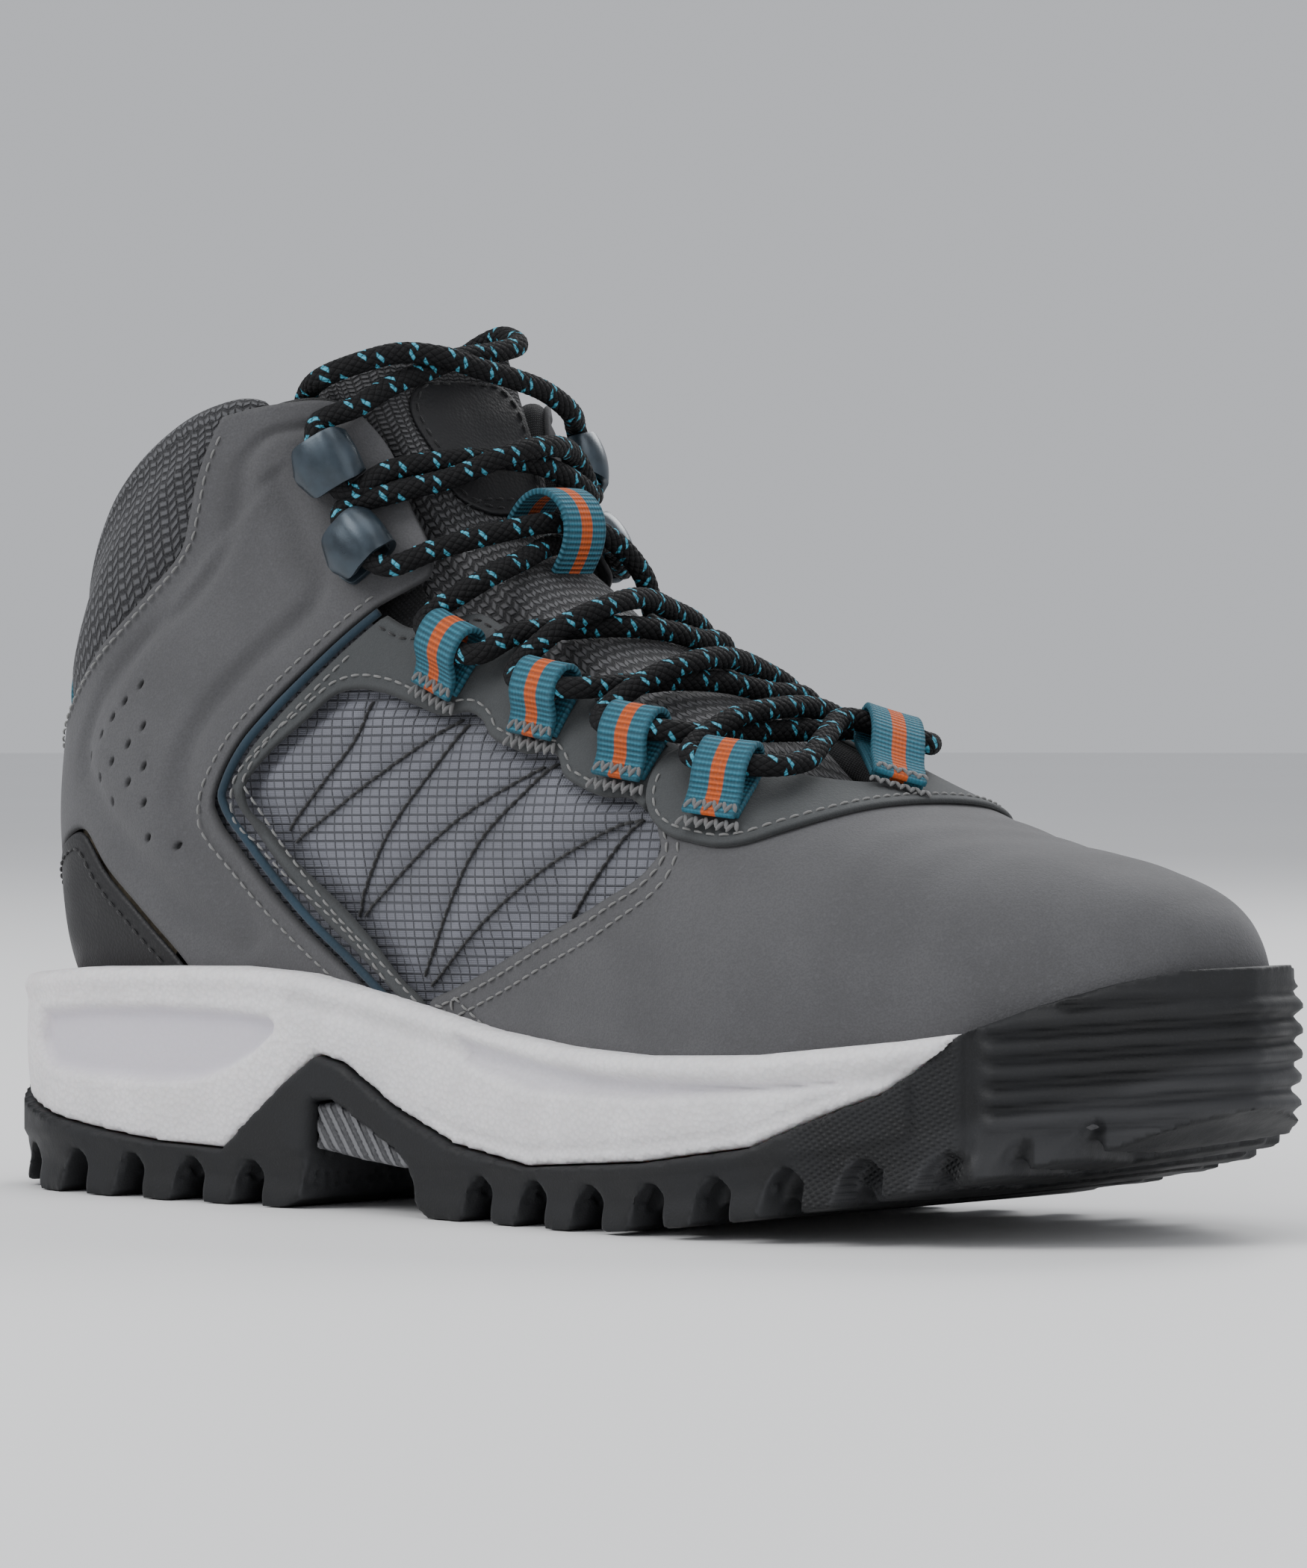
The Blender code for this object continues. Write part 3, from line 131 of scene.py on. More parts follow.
HEEL_LINE = [(0.90, 0.595), (0.84, 0.625), (0.78, 0.652), (0.746, 0.673), (0.721, 0.700), (0.708, 0.728),
             (0.711, 0.753), (0.733, 0.787), (0.79, 0.805), (0.88, 0.812), (1.0, 0.815)]
WINDOW_EDGE = [(0.712, 0.527), (0.703, 0.536), (0.66, 0.567), (0.634, 0.592), (0.61, 0.627),
               (0.590, 0.662), (0.580, 0.684), (0.568, 0.691), (0.545, 0.689), (0.494, 0.677),
               (0.455, 0.667), (0.441, 0.656), (0.428, 0.636), (0.420, 0.606), (0.411, 0.577),
               (0.392, 0.562), (0.391, 0.550), (0.402, 0.538), (0.400, 0.520), (0.393, 0.503),
               (0.373, 0.490), (0.375, 0.481), (0.391, 0.473), (0.394, 0.455), (0.387, 0.433),
               (0.367, 0.412), (0.372, 0.398)]
VAMP_EDGE = [(0.372, 0.388), (0.393, 0.383), (0.417, 0.376), (0.445, 0.381), (0.526, 0.415), (0.611, 0.466),
             (0.692, 0.510), (0.712, 0.521), (0.76, 0.490), (0.82, 0.462), (0.90, 0.437)]
THROAT_EDGE = [(0.222, 0.390), (0.235, 0.42), (0.238, 0.45), (0.243, 0.52), (0.257, 0.566), (0.259, 0.590),
               (0.268, 0.608), (0.300, 0.620), (0.335, 0.634), (0.350, 0.645), (0.361, 0.672)]
THROAT_FRONT = [(0.222, 0.384), (0.21, 0.374), (0.172, 0.351), (0.12, 0.320), (0.07, 0.306), (0.0, 0.301)]
TAB_FRONT = [(0.222, 0.394), (0.245, 0.402), (0.297, 0.406), (0.341, 0.402), (0.363, 0.397), (0.381, 0.388),
             (0.390, 0.373), (0.382, 0.350), (0.368, 0.329), (0.342, 0.312), (0.287, 0.295), (0.226, 0.283),
             (0.157, 0.275), (0.08, 0.271), (0.0, 0.270)]
SIDE_MESH = [(0.285, 0.402), (0.285, 0.50), (0.30, 0.585), (0.345, 0.615), (0.375, 0.66), (0.40, 0.72),
             (0.50, 0.765), (0.62, 0.77), (0.70, 0.74), (0.725, 0.68), (0.735, 0.60), (0.76, 0.53),
             (0.755, 0.465), (0.68, 0.475), (0.60, 0.435), (0.50, 0.375), (0.42, 0.345), (0.33, 0.37)]
LINING_THROAT = [(0.30, 0.928), (0.275, 0.88), (0.265, 0.80), (0.275, 0.72), (0.315, 0.66), (0.33, 0.61),
                 (0.30, 0.56), (0.285, 0.48), (0.28, 0.42), (0.235, 0.375), (0.15, 0.338), (0.0, 0.325)]
TONGUE_TOP = [(0.0, 1.020), (0.10, 1.024), (0.20, 1.032), (0.27, 1.032), (0.33, 1.010), (0.362, 0.975),
              (0.37, 0.955)]
TONGUE_SIDE = [(0.37, 0.955), (0.345, 0.88), (0.335, 0.78), (0.345, 0.68), (0.35, 0.60), (0.335, 0.50),
               (0.31, 0.42), (0.24, 0.36), (0.12, 0.325), (0.0, 0.315)]

# Fittings: (|u|, v) of the foot and of the fold of each webbing loop
LATERAL_LOOPS = [((0.388, 0.592), (0.325, 0.595)), ((0.364, 0.503), (0.290, 0.507)),
                 ((0.346, 0.425), (0.266, 0.428)), ((0.328, 0.342), (0.240, 0.351))]
MEDIAL_LOOPS = [((0.405, 0.587), (0.340, 0.590)), ((0.393, 0.507), (0.320, 0.510)),
                ((0.370, 0.428), (0.290, 0.429)), ((-0.020, 0.293), (0.085, 0.345))]
HOOK_PLACES = [(0.318, 0.727), (0.320, 0.840)]
TONGUE_LOOP_PLACE = (0.010, 0.655)
PULL_LOOP_PLACE = (1.0, 0.925)
TONGUE_LOOP_SIZE = (18, 13)  # length of a standing loop along the boot, and its height
PULL_LOOP_SIZE = (25, 15)

# Plan of the sole: x, lateral y, medial y
SOLE_PLAN = np.array([
    (0, 0, 0), (3, -14, 14), (10, -25, 24), (25, -35, 34), (50, -40.5, 39), (80, -42, 37), (120, -44, 34),
    (160, -50, 38), (195, -56, 46), (222, -57.5, 51.5), (250, -53, 52.5), (272, -42.5, 46), (290, -27, 34),
    (300, -13, 22), (305, 3, 5),
])
# Side view of the sole, as (x, z): where rubber meets midsole, the midsole's top, the ground side
RUBBER_LINE = [(-3, 25), (10, 19), (28, 15.4), (46, 13.3), (62, 11.8), (81, 11.1), (90, 18), (100, 26),
               (107.5, 31), (115, 29.4), (130, 21.3), (148, 14.9), (170, 11.7), (203, 14.1), (230, 18),
               (246, 24.7), (257, 29), (264.5, 34.8), (270, 40.3)]
MIDSOLE_TOP = [(270, 40.3), (260, 38.8), (246, 37.2), (230, 35.4), (203, 34.4), (182, 35.3), (159, 37.7),
               (139, 41.3), (121, 44.3), (104, 47), (84, 47.9), (62, 47.3), (39, 46.5), (21, 45), (-3, 43)]
TOE_WRAP_TOP = [(270, 40.3), (282.5, 45.9), (292, 49.7), (300, 52.1), (308, 52.5)]
GROUND_LINE = [(308, 27), (292, 18.5), (275, 13), (250, 7.5), (225, 3.5), (205, 1.2), (190, 0), (140, 0),
               (136, 3), (134, 11.6), (112, 22.3), (106, 21.5), (105, 9), (103, 2), (98, 0), (22, 0),
               (10, 1), (4, 3.5), (0, 8), (-3, 16)]
SHANK_SIDE = [(106.6, 12), (106.6, 21.1), (112, 21.8), (133.3, 11.3), (132, 9.2), (120, 10.2)]

# The lace's route, from inside the collar's medial side to inside its lateral side. A stop is (u, v) and a
# height above the loft, or a fitting that the lace goes straight through, towards the toe or the collar.
LACE_ROUTE = [
    (0.40, 0.88, -24.0), (0.345, 0.99, -23.5), (0.285, 1.068, -16.0), (0.235, 1.074, -5.0),
    (0.18, 1.036, 1.6), (0.10, 1.016, 2.2), (0.0, 1.000, 2.2), (-0.09, 0.972, 2.2), (-0.19, 0.936, 2.6),
    (-0.265, 0.906, 3.4),
    ("hook_lateral_upper", "toe"),
    (-0.27, 0.791, 3.8), (-0.16, 0.781, 2.7), (-0.04, 0.770, 2.5), (0.10, 0.762, 2.7), (0.24, 0.757, 3.8),
    ("hook_medial_lower", "toe"),
    (0.24, 0.682, 2.6), (0.12, 0.661, -0.6), (0.0, 0.650, -1.2), (-0.11, 0.634, -0.8),
    (-0.24, 0.622, 2.8),
    ("lace_loop_lateral_1", "toe"),
    (-0.265, 0.559, 3.3), (-0.17, 0.547, -0.8), (-0.06, 0.533, -1.2), (0.08, 0.527, -1.2),
    (0.17, 0.530, -0.4), (0.240, 0.536, 2.9),
    ("lace_loop_medial_2", "toe"),
    (0.265, 0.478, 3.9), (0.17, 0.474, 1.8), (0.03, 0.465, 2.9), (-0.10, 0.458, 3.3), (-0.20, 0.458, 3.4),
    ("lace_loop_lateral_3", "toe"),
    (-0.225, 0.394, 4.3), (-0.14, 0.393, 0.2), (-0.04, 0.389, -0.9), (0.06, 0.382, 0.4),
    (0.135, 0.371, 3.8), (0.180, 0.347, 6.2),
    ("lace_loop_medial_4", "collar"),
    (-0.06, 0.342, 5.2), (-0.16, 0.322, 5.4),
    ("lace_loop_lateral_4", "collar"),
    (-0.16, 0.388, 4.4), (-0.04, 0.392, 3.7), (0.08, 0.397, 3.0), (0.17, 0.398, 2.2), (0.235, 0.398, 4.0),
    ("lace_loop_medial_3", "collar"),
    (0.245, 0.457, 3.2), (0.15, 0.454, -0.8), (0.02, 0.456, -1.2), (-0.10, 0.464, -1.1),
    (-0.18, 0.469, 0.4), (-0.235, 0.474, 2.9),
    ("lace_loop_lateral_2", "collar"),
    (-0.22, 0.538, 3.5), (-0.10, 0.538, 3.3), (0.02, 0.547, 2.7), (0.13, 0.555, 0.9), (0.245, 0.559, 3.0),
    ("lace_loop_medial_1", "collar"),
    (0.24, 0.636, 3.4), (0.12, 0.651, 3.4), (0.0, 0.656, 3.5), (-0.13, 0.662, 2.2), (-0.25, 0.677, 2.8),
    ("hook_lateral_lower", "collar"),
    (-0.25, 0.757, 3.6), (-0.14, 0.746, 2.9), (-0.03, 0.750, 6.4), (0.08, 0.772, 7.2), (0.22, 0.803, 4.6),
    ("hook_medial_upper", "collar"),
    (0.26, 0.897, 4.8), (0.17, 0.915, 5.2), (0.08, 0.929, 5.8), (0.0, 0.950, 6.5), (-0.08, 0.980, 6.8),
    (-0.15, 1.003, 4.4), (-0.23, 0.997, 2.6), (-0.30, 0.987, -0.5), (-0.345, 0.975, -7.5),
    (-0.375, 0.943, -11.0), (-0.405, 0.910, -14.0),
]

# ---------------------------------------------------------------- loft of the last

def hermite(keys, values, at):
    """A smooth curve through the values, read at each of the given places."""
    keys = np.asarray(keys, float)
    values = np.asarray(values, float)
    at = np.atleast_1d(np.asarray(at, float))
    widths = np.diff(keys)
    slopes = np.diff(values, axis=0) / widths[:, None]
    tangents = np.empty_like(values)
    weights = (widths[:-1] + widths[1:])[:, None]
    tangents[1:-1] = (slopes[:-1] * widths[1:, None] + slopes[1:] * widths[:-1, None]) / weights
    tangents[0], tangents[-1] = slopes[0], slopes[-1]
    i = np.clip(np.searchsorted(keys, at, side="right") - 1, 0, len(keys) - 2)
    t = ((at - keys[i]) / widths[i])[:, None]
    width = widths[i][:, None]
    return ((2 * t**3 - 3 * t**2 + 1) * values[i] + (t**3 - 2 * t**2 + t) * width * tangents[i]
            + (3 * t**2 - 2 * t**3) * values[i + 1] + (t**3 - t**2) * width * tangents[i + 1])


def half_profile(profile, a):
    """(how far down, how wide) at a = |u|. Mirrored past both ends, the profile closes smoothly."""
    points = np.array(profile, float)
    flip = np.array([1, -1])
    keys = np.linspace(0, 1, len(points))
    step = keys[1]
    keys = np.concatenate([[-2 * step, -step], keys, [1 + step, 1 + 2 * step]])
    points = np.concatenate([points[2:0:-1] * flip, points, points[-2:-4:-1] * flip])
    return hermite(keys, points, a)


def surface(u, v):
    """Points of the last's loft. u wraps round at the sole and the back of the heel."""
    u, v = np.broadcast_arrays(np.asarray(u, float), np.asarray(v, float))
    shape = u.shape
    u = (u.ravel() + 1) % 2 - 1
    row = hermite(SECTIONS[:, 0], SECTIONS[:, 1:], v.ravel())
    top, bottom = row[:, 0:2], row[:, 2:4]
    width, centre, form, bow, skew = row[:, 4], row[:, 5], row[:, 6:7], row[:, 7], row[:, 8]
    profile = half_profile(FOOT_PROFILE, abs(u)) * (1 - form) + half_profile(SHAFT_PROFILE, abs(u)) * form
    down, wide = profile[:, 0], np.sign(u) * profile[:, 1]
    medial = np.maximum(wide, 0) * form[:, 0]
    run = bottom - top
    side = unit(run[:, ::-1] * [1, -1])
    flat = top + run * down[:, None] + side * (bow * 4 * down * (1 - down))[:, None]
    x = flat[:, 0] + skew * wide * width + MEDIAL_LEAD * medial
    y = centre + wide * width + MEDIAL_BULGE * medial
    return np.stack([x, y, flat[:, 1]], axis=1).reshape(shape + (3,))


def tangents(u, v, reach=0.002):
    """Unit directions at (u, v): round the section, towards the collar, and straight out.

    A longer reach round the section turns them more slowly at the edge of the sole.
    """
    e = 0.002
    u, v = np.asarray(u, float), np.asarray(v, float)
    around = surface(u + reach, np.maximum(v, e)) - surface(u - reach, np.maximum(v, e))
    along = surface(u, v + e) - surface(u, np.maximum(v - e, 0))
    out = np.cross(around, along)
    return [unit(d) for d in (around, along, out)]


def lifted(u, v, height, reach=0.002):
    """Points at a height above the loft, or below it when the height is negative."""
    return surface(u, v) + tangents(u, v, reach)[2] * np.asarray(height, float)[..., None]


def smooth_step(low, high, x):
    """0 below low, 1 above high and a smooth rise between them."""
    t = np.clip((np.asarray(x, float) - low) / (high - low), 0, 1)
    return t * t * (3 - 2 * t)


def unit(vectors):
    return vectors / np.linalg.norm(vectors, axis=-1, keepdims=True)


def lengths_along(points):
    """How far along a line each of its points lies."""
    return np.concatenate([[0], np.cumsum(np.linalg.norm(np.diff(points, axis=0), axis=1))])


# ---------------------------------------------------------------- outlines on the loft

FLAT = np.array([130.0, 280.0])  # millimetres on the loft for one unit of u and of v, roughly


def smooth_run(points, step=10.0):
    """The curve through the points, with a new point about every step millimetres."""
    points = np.array(points, float)
    keys = lengths_along(points * FLAT)
    count = max(2, int(round(keys[-1] / step)) + 1)
    return hermite(keys, points, np.linspace(0, keys[-1], count))


def shifted(points, distance):
    """A run moved sideways, to its left as it goes, by a distance in millimetres."""
    points = np.array(points, float) * FLAT
    direction = np.gradient(points, axis=0)
    left = np.stack([-direction[:, 1], direction[:, 0]], axis=1)
    return (points + unit(left) * distance) / FLAT


def joined(*runs):
    """One closed outline from runs that follow each other, without the points that they share."""
    points = np.concatenate(runs)
    keep = [i for i in range(len(points)) if np.linalg.norm((points[i] - points[i - 1]) * FLAT) > 0.6]
    return points[keep]


def mirrored(points):
    """The same run on the other side, going the other way."""
    return (np.array(points, float) * [-1, 1])[::-1]


def whole(half):
    """The closed outline whose lateral half is the other one's mirror image."""
    return joined(half, mirrored(half))


def round_the_heel(run):
    """A run that ends at the back of the heel, carried on round it."""
    run = np.array(run, float)
    return np.concatenate([run, (run * [-1, 1] + [2, 0])[::-1]])


def heel_band(upper, lower):
    """A closed outline between two runs that go round the heel."""
    return joined(round_the_heel(upper), round_the_heel(lower)[::-1])


def on_side(outline, side):
    """An outline worked out as (|u|, v), on the lateral side (-1) or the medial side (1)."""
    return np.array(outline, float) * [side, 1]


def inside(points, outline):
    """Which of the points lie inside the outline."""
    x, y = points[:, 0:1], points[:, 1:2]
    a, b = outline, np.roll(outline, -1, axis=0)
    crosses = (a[:, 1] > y) != (b[:, 1] > y)
    with np.errstate(divide="ignore", invalid="ignore"):
        at = a[:, 0] + (y - a[:, 1]) * (b[:, 0] - a[:, 0]) / (b[:, 1] - a[:, 1])
    return (crosses & (x < at)).sum(axis=1) % 2 == 1


def clearance(points, outline):
    """Each point's distance from the outline."""
    a, b = outline, np.roll(outline, -1, axis=0)
    run = b - a
    t = ((points[:, None] - a) * run).sum(-1) / (run**2).sum(-1)
    nearest = a + np.clip(t, 0, 1)[..., None] * run
    return np.linalg.norm(points[:, None] - nearest, axis=-1).min(axis=1)


def place(points):
    """Loft millimetres to the object's own metres."""
    return (np.asarray(points, float) - ORIGIN) * MM


def frame_at(centre, x_axis, z_axis):
    """The matrix of a fitting: x and z as given, origin at a loft point in millimetres."""
    x_axis = np.asarray(x_axis, float) / np.linalg.norm(x_axis)
    z_axis = np.asarray(z_axis, float) - x_axis * np.dot(x_axis, z_axis)
    z_axis = z_axis / np.linalg.norm(z_axis)
    y_axis = np.cross(z_axis, x_axis)
    matrix = Matrix.Identity(4)
    for column, axis in enumerate((x_axis, y_axis, z_axis, place(centre))):
        for i in range(3):
            matrix[i][column] = axis[i]
    return matrix


# ---------------------------------------------------------------- places of the fittings

def loop_frames():
    """For each lace loop, its frame at the foot, and how far from there its fold is."""
    found = {}
    for (side, word), loops in zip(SIDES, (LATERAL_LOOPS, MEDIAL_LOOPS)):
        for number, (foot, fold) in enumerate(loops, start=1):
            start, end = (lifted(side * a, v, loop_height(v)) for a, v in (foot, fold))
            up = tangents(side * foot[0], foot[1])[2] + tangents(side * fold[0], fold[1])[2]
            matrix = frame_at(start, end - start, up)
            found[f"lace_loop_{word}_{number}"] = matrix, np.linalg.norm(end - start)
    return found


def hook_frames():
    """For each hook, its frame at the middle of its foot, x away from the throat."""
    found = {}
    for side, word in SIDES:
        for (a, v), level in zip(HOOK_PLACES, ("lower", "upper")):
            around, _, out = tangents(side * a, v)
            found[f"hook_{word}_{level}"] = frame_at(lifted(side * a, v, HOOK_LIFT), around * side, out)
    return found


def loop_height(v):
    """Loops lie on the eyestay, or on the raised overlay at the front of the throat."""
    return OVERLAY_HEIGHT + LOOP_LIFT if v < 0.40 else LOOP_LIFT


def arc(x, z, radius, start, end, steps):
    """Points of a round stretch in a side view, its angles in degrees."""
    angles = [math.radians(start + (end - start) * i / steps) for i in range(steps + 1)]
    return [(x + radius * math.cos(angle), z + radius * math.sin(angle)) for angle in angles]


def passes():
    """Where the lace enters and leaves each fitting, in loft millimetres, toe end first."""
    middles = {name: (matrix, length, FOLD_RADIUS, WEBBING_WIDTH)
               for name, (matrix, length) in loop_frames().items()}
    middles.update({name: (matrix, 0.0, HOOK_CENTRE, HOOK_WIDTH) for name, matrix in hook_frames().items()})
    found = {}
    for name, (matrix, x, z, width) in middles.items():
        half = width / 2 + 3.0
        ends = [np.array(matrix @ Vector((x * MM, y * MM, z * MM))) / MM + ORIGIN for y in (-half, half)]
        found[name] = sorted(ends, key=lambda end: -end[0])
    return found


def lace_line():
    """The lace's centre line, in loft millimetres."""
    through = passes()
    points = []
    for stop in LACE_ROUTE:
        if isinstance(stop[0], str):
            ends = through[stop[0]]
            points += ends if stop[1] == "collar" else ends[::-1]
        else:
            points.append(lifted(*stop))
    return np.array(points)

# ---------------------------------------------------------------- materials

class Look:
    """A material's nodes, with a short call for each kind that is used here. Patterns are in millimetres."""

    def __init__(self, name, roughness, **sockets):
        self.material = bpy.data.materials.new(name)
        self.material.use_nodes = True
        self.tree = self.material.node_tree
        self.shader = self.tree.nodes["Principled BSDF"]
        self.shader.inputs["Roughness"].default_value = roughness
        for socket, value in sockets.items():
            self.shader.inputs[socket.replace("_", " ")].default_value = value

    def node(self, kind, *values, **settings):
        made = self.tree.nodes.new(kind)
        for key, value in settings.items():
            setattr(made, key, value)
        for socket, value in zip(made.inputs, values):
            self.feed(socket, value)
        return made

    def feed(self, socket, value):
        if isinstance(value, bpy.types.NodeSocket):
            self.tree.links.new(value, socket)
        elif value is not None:
            socket.default_value = value

    def math(self, operation, *values):
        return self.node("ShaderNodeMath", *values, operation=operation).outputs[0]

    def point(self):
        """The place on the object, in millimetres."""
        point = self.node("ShaderNodeTexCoord").outputs["Object"]
        made = self.node("ShaderNodeVectorMath", point, operation="SCALE")
        made.inputs["Scale"].default_value = 1 / MM
        return made.outputs[0]

    def attribute(self, name, output="Fac"):
        return self.node("ShaderNodeAttribute", attribute_name=name).outputs[output]

    def split(self, vector):
        return self.node("ShaderNodeSeparateXYZ", vector).outputs

    def noise(self, vector, size, detail=3.0):
        """Noise whose lumps are about size millimetres wide."""
        made = self.node("ShaderNodeTexNoise", vector)
        made.inputs["Scale"].default_value = 1 / size
        made.inputs["Detail"].default_value = detail
        return made.outputs[0]

    def cells(self, vector, size, feature="F1"):
        made = self.node("ShaderNodeTexVoronoi", vector, feature=feature)
        made.inputs["Scale"].default_value = 1 / size
        return made.outputs["Distance"]

    def span(self, value, low, high, start=0.0, end=1.0):
        """The value's way from low to high, as a smooth step from start to end."""
        made = self.node("ShaderNodeMapRange", value, low, high, start, end, interpolation_type="SMOOTHSTEP")
        return made.outputs[0]

    def period(self, value, step):
        """Where a value lies in its repeat, from 0 to 1."""
        return self.math("FRACT", self.math("DIVIDE", value, step))

    def wave(self, value, step):
        """A smooth wave from 0 to 1, one for each step."""
        angle = self.math("MULTIPLY", value, 2 * math.pi / step)
        return self.math("MULTIPLY_ADD", self.math("SINE", angle), 0.5, 0.5)

    def band(self, part, half, soft=0.06):
        """1 within half of the middle of a repeat, 0 outside."""
        away = self.math("ABSOLUTE", self.math("SUBTRACT", part, 0.5))
        return self.span(away, half - soft, half + soft, 1.0, 0.0)

    def blend(self, factor, first, second):
        made = self.node("ShaderNodeMix", data_type="RGBA")
        for index, value in ((0, factor), (6, first), (7, second)):
            self.feed(made.inputs[index], (*value, 1) if isinstance(value, tuple) else value)
        return made.outputs[2]

    def mottled(self, value, low, high, base, dark, pale):
        """The base colour, made darker where the value is low and paler where it is high."""
        return self.blend(self.span(value, low, high), shade(base, dark), shade(base, pale))

    def tint(self, colour, factor, other, amount=1.0):
        """The colour, turned to the other one by a factor of at most the amount."""
        return self.blend(self.math("MULTIPLY", factor, amount), colour, other)

    def colour(self, socket):
        self.feed(self.shader.inputs["Base Color"], socket)

    def rough(self, socket, low, high):
        self.feed(self.shader.inputs["Roughness"], self.span(socket, 0.25, 0.75, low, high))

    def relief(self, *layers):
        """Bumps on each other, each given as (height, depth in millimetres)."""
        normal = None
        for height, depth in layers:
            made = self.node("ShaderNodeBump")
            made.inputs["Strength"].default_value = 1.0
            made.inputs["Distance"].default_value = depth * MM
            self.feed(made.inputs["Height"], height)
            self.feed(made.inputs["Normal"], normal)
            normal = made.outputs[0]
        self.feed(self.shader.inputs["Normal"], normal)


def shade(colour, factor):
    """The colour made darker or paler."""
    return tuple(c * factor for c in colour)


def leather_look(name, base, grain=0.4, roughness=0.86):
    """Matt nubuck: fine nap, soft clouds, darker cut edges and painted shade inside the perforations."""
    look = Look(name, roughness, Sheen_Weight=0.08, Sheen_Roughness=0.6)
    point = look.point()
    clouds = look.noise(point, 22, 3)
    nap = look.noise(point, grain * 2.5, 5)
    grit = look.noise(point, grain, 2)
    tone = look.mottled(clouds, 0.35, 0.65, base, 0.9, 1.08)
    tone = look.tint(tone, look.span(nap, 0.45, 0.72), shade(base, 1.3), 0.5)
    tone = look.tint(tone, look.span(grit, 0.38, 0.6, 1.0, 0.0), shade(base, 0.6), 0.35)
    tone = look.tint(tone, look.span(look.attribute("edge"), 0.1, 0.9, 1.0, 0.0), shade(base, 0.35), 0.75)
    # painted shade: near black where the mesh marks it, inside the perforations
    tone = look.tint(tone, look.attribute("hollow"), shade(base, 0.08), 1.0)
    look.colour(tone)
    look.rough(nap, roughness - 0.06, roughness + 0.06)
    look.relief((nap, 0.10), (grit, 0.10))
    return look.material


def ripstop_look():
    """Plain weave with a thicker thread every few, both ways, and painted shade in its creases."""
    base, dark, pale = (0.135, 0.14, 0.165), (0.035, 0.037, 0.045), (0.20, 0.205, 0.235)
    look = Look("ripstop", 0.62, Sheen_Weight=0.06, Sheen_Roughness=0.5)
    point = look.point()
    x, _, z = look.split(point)
    along = look.math("ADD", x, look.math("MULTIPLY", z, 0.12))
    up = look.math("SUBTRACT", z, look.math("MULTIPLY", x, 0.02))
    rows = look.band(look.period(up, 1.75), 0.10, 0.06)
    columns = look.band(look.period(along, 2.7), 0.055, 0.04)
    ribs = look.math("MAXIMUM", rows, columns)
    threads = look.math("MULTIPLY", look.wave(up, 0.42), look.wave(along, 0.5))
    tone = look.mottled(look.noise(point, 14, 2), 0.35, 0.65, base, 0.88, 1.1)
    tone = look.tint(tone, threads, pale, 0.55)
    tone = look.tint(tone, ribs, dark, 0.8)
    # painted shade in the creases along the zigzag seams
    tone = look.tint(tone, look.attribute("hollow"), dark, 0.55)
    look.colour(tone)
    look.rough(threads, 0.55, 0.72)
    look.relief((threads, 0.12), (ribs, 0.28))
    return look.material


def knit_look(name, width, height, yarn, ground, lean=0.9):
    """Chunky spacer knit: rows of paired slanting yarns over a dark ground."""
    look = Look(name, 0.88, Sheen_Weight=0.08, Sheen_Roughness=0.5)
    x, y, _ = look.split(look.attribute("weave", "Vector"))
    zig = look.math("ABSOLUTE", look.math("SUBTRACT", look.period(x, width), 0.5))
    slant = look.math("MULTIPLY", zig, lean)
    row = look.math("FRACT", look.math("ADD", look.math("DIVIDE", y, height), slant))
    strand = look.band(row, 0.27, 0.12)
    gap = look.band(look.period(x, width / 2), 0.40, 0.10)
    raised = look.math("MULTIPLY", strand, gap)
    fibre = look.noise(look.point(), 0.35, 2)
    tone = look.blend(raised, ground, yarn)
    tone = look.tint(tone, look.span(fibre, 0.4, 0.7), shade(yarn, 1.5), 0.3)
    # painted shade where the mesh marks it; no knit piece marks any
    tone = look.tint(tone, look.attribute("hollow"), shade(ground, 0.4), 1.0)
    look.colour(tone)
    look.rough(fibre, 0.8, 0.95)
    look.relief((raised, 0.55), (fibre, 0.08))
    return look.material


def film_look(name, base, roughness=0.55):
    """Thin moulded overlay with a fine grain."""
    look = Look(name, roughness, Specular_IOR_Level=0.35)
    point = look.point()
    grain = look.cells(point, 0.7)
    clouds = look.noise(point, 15, 2)
    tone = look.mottled(clouds, 0.3, 0.7, base, 0.8, 1.25)
    tone = look.tint(tone, look.span(look.attribute("edge"), 0.0, 0.7, 1.0, 0.0), shade(base, 2.2), 0.5)
    look.colour(tone)
    look.rough(clouds, roughness - 0.08, roughness + 0.1)
    look.relief((grain, 0.08))
    return look.material


def cloth_look(name, base, step=0.8):
    """Plain woven or brushed lining cloth."""
    look = Look(name, 0.9, Sheen_Weight=0.08, Sheen_Roughness=0.5)
    x, y, _ = look.split(look.attribute("weave", "Vector"))
    threads = look.math("MULTIPLY", look.wave(x, step), look.wave(y, step))
    point = look.point()
    fuzz = look.noise(point, 0.6, 3)
    tone = look.blend(threads, shade(base, 0.6), shade(base, 1.4))
    tone = look.tint(tone, look.span(look.noise(point, 18, 2), 0.4, 0.7), shade(base, 1.5), 0.4)
    look.colour(tone)
    look.rough(fuzz, 0.84, 0.96)
    look.relief((threads, 0.2), (fuzz, 0.1))
    return look.material


def board_look(name, base):
    """Pressed fibre board or foam, speckled."""
    look = Look(name, 0.92)
    point = look.point()
    fibre = look.noise(point, 1.2, 5)
    look.colour(look.mottled(fibre, 0.35, 0.65, base, 0.75, 1.15))
    look.rough(fibre, 0.85, 0.98)
    look.relief((fibre, 0.15))
    return look.material


